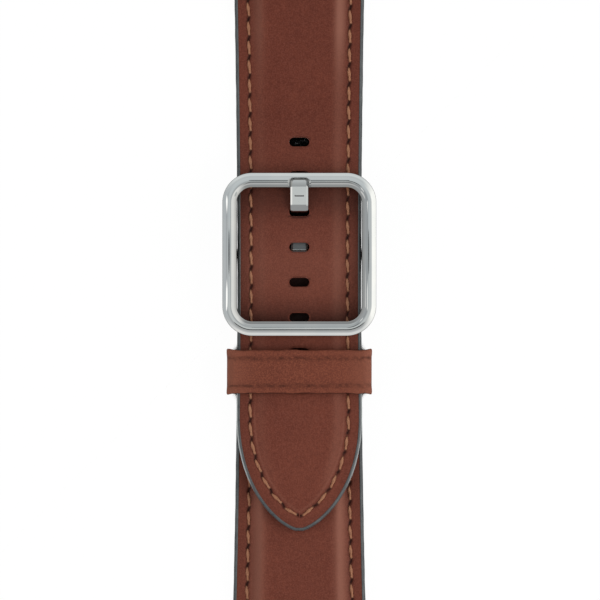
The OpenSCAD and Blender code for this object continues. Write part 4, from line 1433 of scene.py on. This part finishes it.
def buildTongue():
    look = tongue
    rings, darks, brushes = [], [], []
    for (ay, az), (by, bz) in tongueRows():
        w = max(0.25, tongueHalf(by, bz))
        out = Vector((by - ay, bz - az)).normalized()
        thick = math.hypot(by - ay, bz - az)
        side = min(look["sideBevel"], w * 0.3)
        past = by - look["grooveY"]
        reach = look["grooveFar"] if past > 0 else look["grooveNear"]
        deep = look["grooveDepth"] * max(0.0, 1 - abs(past) / reach)
        # Painted shade on the groove's far wall
        shade = look["grooveDark"] if 0.015 < past < look["grooveFar"] - 0.01 else 0.0

        def at(x, share, press=0.0):
            return (x, ay + out.x * (thick * share - press), az + out.y * (thick * share - press))
        chamfer = look["sideDrop"] * (0.5 if by < look["facetFrom"] else 1) / thick
        ring = [at(-w + 0.12, 0), at(-w, 0.12), at(-w, 1 - chamfer - 0.05), at(-w + 0.04, 1 - chamfer + 0.02),
                at(-w + side - 0.02, 0.994), at(-w + side + 0.02, 1)]
        face = faceMark(by)
        dark = [face] * len(ring)
        scale = (w - side - 0.12) / (look["width"] / 2 - look["sideBevel"] - 0.12)
        for x in faceColumns():
            inGroove = abs(x) < look["grooveHalf"]
            x *= scale
            ring.append(at(x, 1, deep if inGroove else 0.0))
            dark.append(max(face, shade if inGroove else 0.0))
        ring += [at(w - side - 0.02, 1), at(w - side + 0.02, 0.994), at(w - 0.04, 1 - chamfer + 0.02),
                 at(w, 1 - chamfer - 0.05), at(w, 0.12), at(w - 0.12, 0), at(0, 0)]
        dark += [face] * (len(ring) - len(dark))
        # The parts hidden under the leather are painted nearly black, painted shade
        root = by < look["rootEnd"] + 0.3 and bz < look["hiddenZ"]
        darks.append([look["noseMark"]] * len(ring) if bz < look["hiddenZ"] and not root else dark)
        brushes.append([1.0 if root else 0.0] * len(ring))
        rings.append(ring)
    piece = wrapGrid("buckle_pin_tongue", rings, marks={"mark": darks, "brushed": brushes})
    r, half = look["barrel"], look["rootHalf"]
    profile = roundCorners([(-half, 0.85, 0.05), (-half, r, 0.2), (half, r, 0.2), (half, 0.85, 0.05)], 3)
    barrel = turnProfile("barrel", profile, 0, strap["buckleBarZ"], 64)
    markAll(barrel, "brushed", 1.0)
    cutWith(piece, barrel, operation="UNION")
    finishPiece(piece, 12, "polished_steel", ["buckle_tongue"], body="tongue")


# Bars

bars = {
    "buckle_bar": {"y": 0, "z": strap["buckleBarZ"], "r": 0.8, "collar": 10.9, "travel": 1.45,
                   "end": 12.4,
                   "bodies": ("leather", "buckle_left_tip", "buckle_right_tip"),
                   "joints": ("buckle_left_tip_press", "buckle_right_tip_press")},
    "long_bar": {"y": lugY, "z": strap["lugBarZ"], "r": 0.9, "collar": 11.85, "travel": 1.15, "end": 13.0,
                 "bodies": ("long_lug_bar", "long_left_tip", "long_right_tip"),
                 "joints": ("long_left_tip_press", "long_right_tip_press")},
    "short_bar": {"y": -lugY, "z": strap["lugBarZ"], "r": 0.9, "collar": 11.85, "travel": 1.15, "end": 13.0,
                  "bodies": ("short_lug_bar", "short_left_tip", "short_right_tip"),
                  "joints": ("short_left_tip_press", "short_right_tip_press")},
}
barFit = {"wall": 0.25, "run": 0.05, "collar": 0.35, "collarGap": 0.1, "collarStep": 0.1, "stem": 2.2,
          "pin": 0.4, "wire": 0.17, "coils": 11}


def buildBars():
    for name, bar in bars.items():
        r, y, z = bar["r"], bar["y"], bar["z"]
        tubeHalf = bar["collar"] - barFit["collar"] - bar["travel"] - barFit["collarGap"]
        stemX = tubeHalf - barFit["stem"]
        inner = r - barFit["wall"]
        tube = roundCorners([(-tubeHalf, inner, 0.04), (-tubeHalf, r, 0.12), (tubeHalf, r, 0.12),
                             (tubeHalf, inner, 0.04)], 3)
        tube = turnProfile(name + "_sleeve", tube, y, z)
        finishPiece(tube, 35, "bar_steel", [name + "_tube"], body=bar["bodies"][0])
        stem = inner - barFit["run"]
        collar = r - barFit["collarStep"]
        for sign, side, body in ((-1, "left", bar["bodies"][1]), (1, "right", bar["bodies"][2])):
            shape = [(stemX, 0, 0), (stemX, stem, 0.06), (bar["collar"] - barFit["collar"], stem, 0.03),
                     (bar["collar"] - barFit["collar"], collar, 0.06), (bar["collar"], collar, 0.06),
                     (bar["collar"], barFit["pin"], 0.04), (bar["end"], barFit["pin"], 0.14),
                     (bar["end"], 0, 0)]
            tip = turnProfile("%s_%s_plunger" % (name, side),
                              [(sign * px, pr) for px, pr in roundCorners(shape, 3)], y, z)
            finishPiece(tip, 35, "bar_steel", ["%s_%s_tip" % (name, side)], body=body)
        buildSpring(name, bar, stemX - 0.06, stem)


# Each spring is a coil in two halves, one toward each tip, that go with the bar's tube
def buildSpring(name, bar, half, outer):
    wire = barFit["wire"]
    radius = outer - wire
    for sign, side, joint in ((-1, "left", bar["joints"][0]), (1, "right", bar["joints"][1])):
        rings = []
        turns = barFit["coils"]
        start, end = 0.0, half - wire
        steps = turns * 14
        for i in range(steps + 1):
            t = i / steps
            a = 2 * math.pi * turns * t
            x = sign * (start + (end - start) * t)
            ring = []
            for k in range(6):
                b = -2 * math.pi * k / 6 * sign
                out = radius + wire * math.cos(b)
                ring.append((x + wire * math.sin(b), bar["y"] + out * math.cos(a),
                             bar["z"] + out * math.sin(a)))
            rings.append(ring)
        coil = wrapGrid("%s_%s_coil" % (name, side), rings)
        finishPiece(coil, 60, "spring_steel", [name + "_spring"], body=bar["bodies"][0])
        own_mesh(coil)


# Scene

studio = {
    "pixel": 0.000175, "size": 600, "centre": (0.00012, -0.00805), "height": 1.3,
    "right": ((0.46, -0.12, 0.38), 0.5, 2.5), "left": ((-0.46, -0.10, 0.38), 0.5, 1.6),
    "floorSeen": 0.97, "floorMirrored": 0.25, "white": (1.25, 1.25, 1.22, 1), "cream": (0.96, 0.95, 0.92, 1),
    "panel": {"x": -0.33, "reach": 0.10, "from": 0.076, "slope": 0.3, "shift": 0.024, "turn": 0.6},
    "lens": (-0.066, 0.01, 0.07, 0.06), "rail": (0.0, -0.302, 0.16, 0.052),
    "card": (-0.75, -0.24, 0.09, 0.22), "shade": (0.76, -0.26, 0.13, 0.12), "dim": (0.66, 0.69, 0.68, 1),
    "dark": (0.03, 0.03, 0.032, 1), "shadow": (10.2, 10.6, 9, 2),
}

# What the tent's four walls show, by height above the horizon
tentWalls = {
    "back": ((0.0, 0.55, 0.55, 0.54), (0.1, 0.42, 0.43, 0.43), (0.3, 0.33, 0.34, 0.34),
             (0.56, 0.43, 0.44, 0.45), (0.70, 0.76, 0.80, 0.80), (0.78, 0.62, 0.66, 0.66),
             (0.845, 0.54, 0.57, 0.58), (0.905, 0.60, 0.64, 0.65), (1.0, 0.56, 0.60, 0.61)),
    "front": ((0.0, 0.40, 0.39, 0.37), (0.1, 0.44, 0.44, 0.42), (0.22, 0.44, 0.455, 0.46),
              (0.56, 0.43, 0.44, 0.44), (0.70, 0.86, 0.86, 0.84), (0.79, 0.64, 0.65, 0.65),
              (0.84, 0.51, 0.52, 0.52), (0.88, 0.43, 0.44, 0.44), (0.935, 0.42, 0.43, 0.43),
              (0.955, 0.59, 0.62, 0.61), (1.0, 0.59, 0.62, 0.62)),
    "right": ((0.0, 0.74, 0.73, 0.70), (0.27, 0.85, 0.84, 0.81), (0.5, 1.08, 1.07, 1.03),
              (0.75, 1.12, 1.12, 1.08), (0.925, 1.18, 1.18, 1.13), (0.955, 0.62, 0.64, 0.64),
              (1.0, 0.50, 0.53, 0.54)),
    "left": ((0.0, 0.42, 0.42, 0.41), (0.12, 0.42, 0.43, 0.43), (0.38, 0.48, 0.49, 0.49),
             (0.63, 0.53, 0.55, 0.56), (0.8, 0.50, 0.53, 0.54), (0.87, 0.53, 0.56, 0.58),
             (0.915, 0.41, 0.43, 0.44), (0.96, 0.47, 0.50, 0.51), (1.0, 0.54, 0.57, 0.58)),
}


def buildCamera():
    width = studio["pixel"] * studio["size"]
    x, y = studio["centre"]
    data = bpy.data.cameras.new("camera")
    data.sensor_width = 36
    data.lens = 36 * (studio["height"] - 0.005) / width
    camera = bpy.data.objects.new("camera", data)
    camera.location = (x, y, studio["height"])
    bpy.context.collection.objects.link(camera)
    bpy.context.scene.camera = camera


def addLamp(name, place, size, power):
    data = bpy.data.lights.new(name, "AREA")
    data.shape = "SQUARE"
    data.size = size
    data.energy = power
    lamp = bpy.data.objects.new(name, data)
    lamp.location = place
    lamp.rotation_euler = (Vector((0, 0, 0)) - Vector(place)).to_track_quat("-Z", "Y").to_euler()
    lamp.visible_glossy = False
    bpy.context.collection.objects.link(lamp)


# The open floor glows white, and what is covered or close beside the strap keeps its shadow. The floor's own
# colour is painted near black there as well, a painted shadow that reaches further under the strap than
# beside it, so that the holes stay dark.
def floorMaterial():
    material, tree, shader = newMaterial("floor_paper")
    shader.inputs["Roughness"].default_value = 0.9
    shader.inputs["Specular IOR Level"].default_value = 0
    path = addNode(tree, "LightPath")
    mirrored = addMath(tree, "MAXIMUM", path.outputs["Is Glossy Ray"], path.outputs["Is Transmission Ray"])
    strength = addMath(tree, "MAXIMUM", addMath(tree, "MULTIPLY", mirrored, studio["floorMirrored"]),
                       path.outputs["Is Camera Ray"])
    seen = addMath(tree, "MAXIMUM", mirrored, path.outputs["Is Camera Ray"])
    parts = addNode(tree, "SeparateXYZ")
    tree.links.new(addNode(tree, "NewGeometry").outputs["Position"], parts.inputs[0])
    aside = addMath(tree, "ABSOLUTE", parts.outputs[0], 0)
    near = addNode(tree, "AmbientOcclusion", samples=16)
    tree.links.new(remap(tree, aside, *[value * mm for value in studio["shadow"]]), near.inputs["Distance"])
    share = remap(tree, near.outputs["AO"], 0.37, 0.46, 0.0, studio["floorSeen"])
    # Painted shadow: the floor's own colour goes near black where it is covered
    shadowedPaper = mixColors(tree, remap(tree, near.outputs["AO"], 0.36, 0.46), (0.004, 0.004, 0.004, 1),
                      (0.9, 0.9, 0.9, 1))
    tree.links.new(shadowedPaper, shader.inputs["Base Color"])
    glow = addNode(tree, "Emission", {"Color": (1, 1, 1, 1)})
    tree.links.new(strength, glow.inputs["Strength"])
    mix = addNode(tree, "MixShader")
    tree.links.new(addMath(tree, "MULTIPLY", share, seen), mix.inputs[0])
    tree.links.new(shader.outputs[0], mix.inputs[1])
    tree.links.new(glow.outputs[0], mix.inputs[2])
    tree.links.new(mix.outputs[0], tree.nodes["Material Output"].inputs["Surface"])
    return material


def wallRamp(tree, height, stops):
    ramp = addNode(tree, "ValToRGB")
    ends = ramp.color_ramp.elements
    while len(ends) < len(stops):
        ends.new(0.5)
    for stop, (position, *color) in zip(ends, stops):
        stop.position = position
        stop.color = (*color, 1)
    tree.links.new(height, ramp.inputs[0])
    return ramp.outputs[0]


# Two white panels hang on the left of the tent, with a gap between them that widens to a point
def tentPanel(tree, x, y):
    panel = studio["panel"]
    off = addMath(tree, "ABSOLUTE", addMath(tree, "SUBTRACT", x, panel["x"]), 0)
    gap = addMath(tree, "ADD", addMath(tree, "MULTIPLY", off, panel["slope"]), panel["from"])
    height = addMath(tree, "ABSOLUTE", addMath(tree, "SUBTRACT", y, panel["shift"]), 0)
    clear = remap(tree, addMath(tree, "SUBTRACT", height, gap), 0.0, 0.012)
    limit = addMath(tree, "MULTIPLY", x, -panel["turn"])
    inside = remap(tree, addMath(tree, "SUBTRACT", limit, height), 0.0, 0.02)
    inside = addMath(tree, "MULTIPLY", inside, remap(tree, off, panel["reach"], panel["reach"] - 0.02))
    return addMath(tree, "MULTIPLY", clear, inside)


# An oval place in the tent, 1 inside it
def tentOval(tree, x, y, oval):
    along = addMath(tree, "DIVIDE", addMath(tree, "SUBTRACT", x, oval[0]), oval[2])
    across = addMath(tree, "DIVIDE", addMath(tree, "SUBTRACT", y, oval[1]), oval[3])
    along, across = addMath(tree, "MULTIPLY", along, along), addMath(tree, "MULTIPLY", across, across)
    far = addMath(tree, "ADD", along, across)
    return remap(tree, far, 1.1, 0.8)


# A light tent with a wall on each side, with the dark lens overhead and a dark rail beside it
def buildTent():
    world = bpy.data.worlds.new("studio")
    world.use_nodes = True
    bpy.context.scene.world = world
    tree = world.node_tree
    parts = addNode(tree, "SeparateXYZ")
    tree.links.new(addNode(tree, "TexCoord").outputs["Generated"], parts.inputs[0])
    x, y, z = parts.outputs
    across, along = addMath(tree, "MULTIPLY", x, x), addMath(tree, "MULTIPLY", y, y)
    total = addMath(tree, "MAXIMUM", addMath(tree, "ADD", across, along), 0.0001)
    sideways = remap(tree, addMath(tree, "DIVIDE", across, total), 0.2, 0.7)
    walls = {key: wallRamp(tree, z, stops) for key, stops in tentWalls.items()}
    ends = mixColors(tree, remap(tree, y, -0.05, 0.05), walls["front"], walls["back"])
    sides = mixColors(tree, remap(tree, x, -0.05, 0.05), walls["left"], walls["right"])
    color = mixColors(tree, sideways, ends, sides)
    color = mixColors(tree, tentPanel(tree, x, y), color, studio["white"])
    color = mixColors(tree, tentOval(tree, x, y, studio["card"]), color, studio["cream"])
    color = mixColors(tree, tentOval(tree, x, y, studio["shade"]), color, studio["dim"])
    for key in ("lens", "rail"):
        color = mixColors(tree, tentOval(tree, x, y, studio[key]), color, studio["dark"])
    color = mixColors(tree, addNode(tree, "LightPath").outputs["Is Camera Ray"], color, (1, 1, 1, 1))
    tree.links.new(color, tree.nodes["Background"].inputs["Color"])


def buildStudio():
    bpy.ops.object.select_all(action="DESELECT")
    bpy.ops.mesh.primitive_plane_add(size=6)
    floor = bpy.context.object
    floor.name = "floor"
    floor.data.transform(Matrix.Translation((0, 0, -0.00002)))
    floor.data.materials.append(floorMaterial())
    addLamp("right_lamp", *studio["right"])
    addLamp("left_lamp", *studio["left"])
    buildTent()
    bpy.context.scene.view_settings.view_transform = "Standard"


buildCamera()
buildStudio()
print("studio built")
buildLongLeather()
buildShortLeather()
print("top leathers built")
buildLinings()
buildPadding()
buildTape()
print("inner layers built")
buildCoats()
buildStitching()
print("edges and seams built")
buildKeeper()
buildFrame()
buildTongue()
print("keeper and buckle built")
buildBars()
print("bars built")
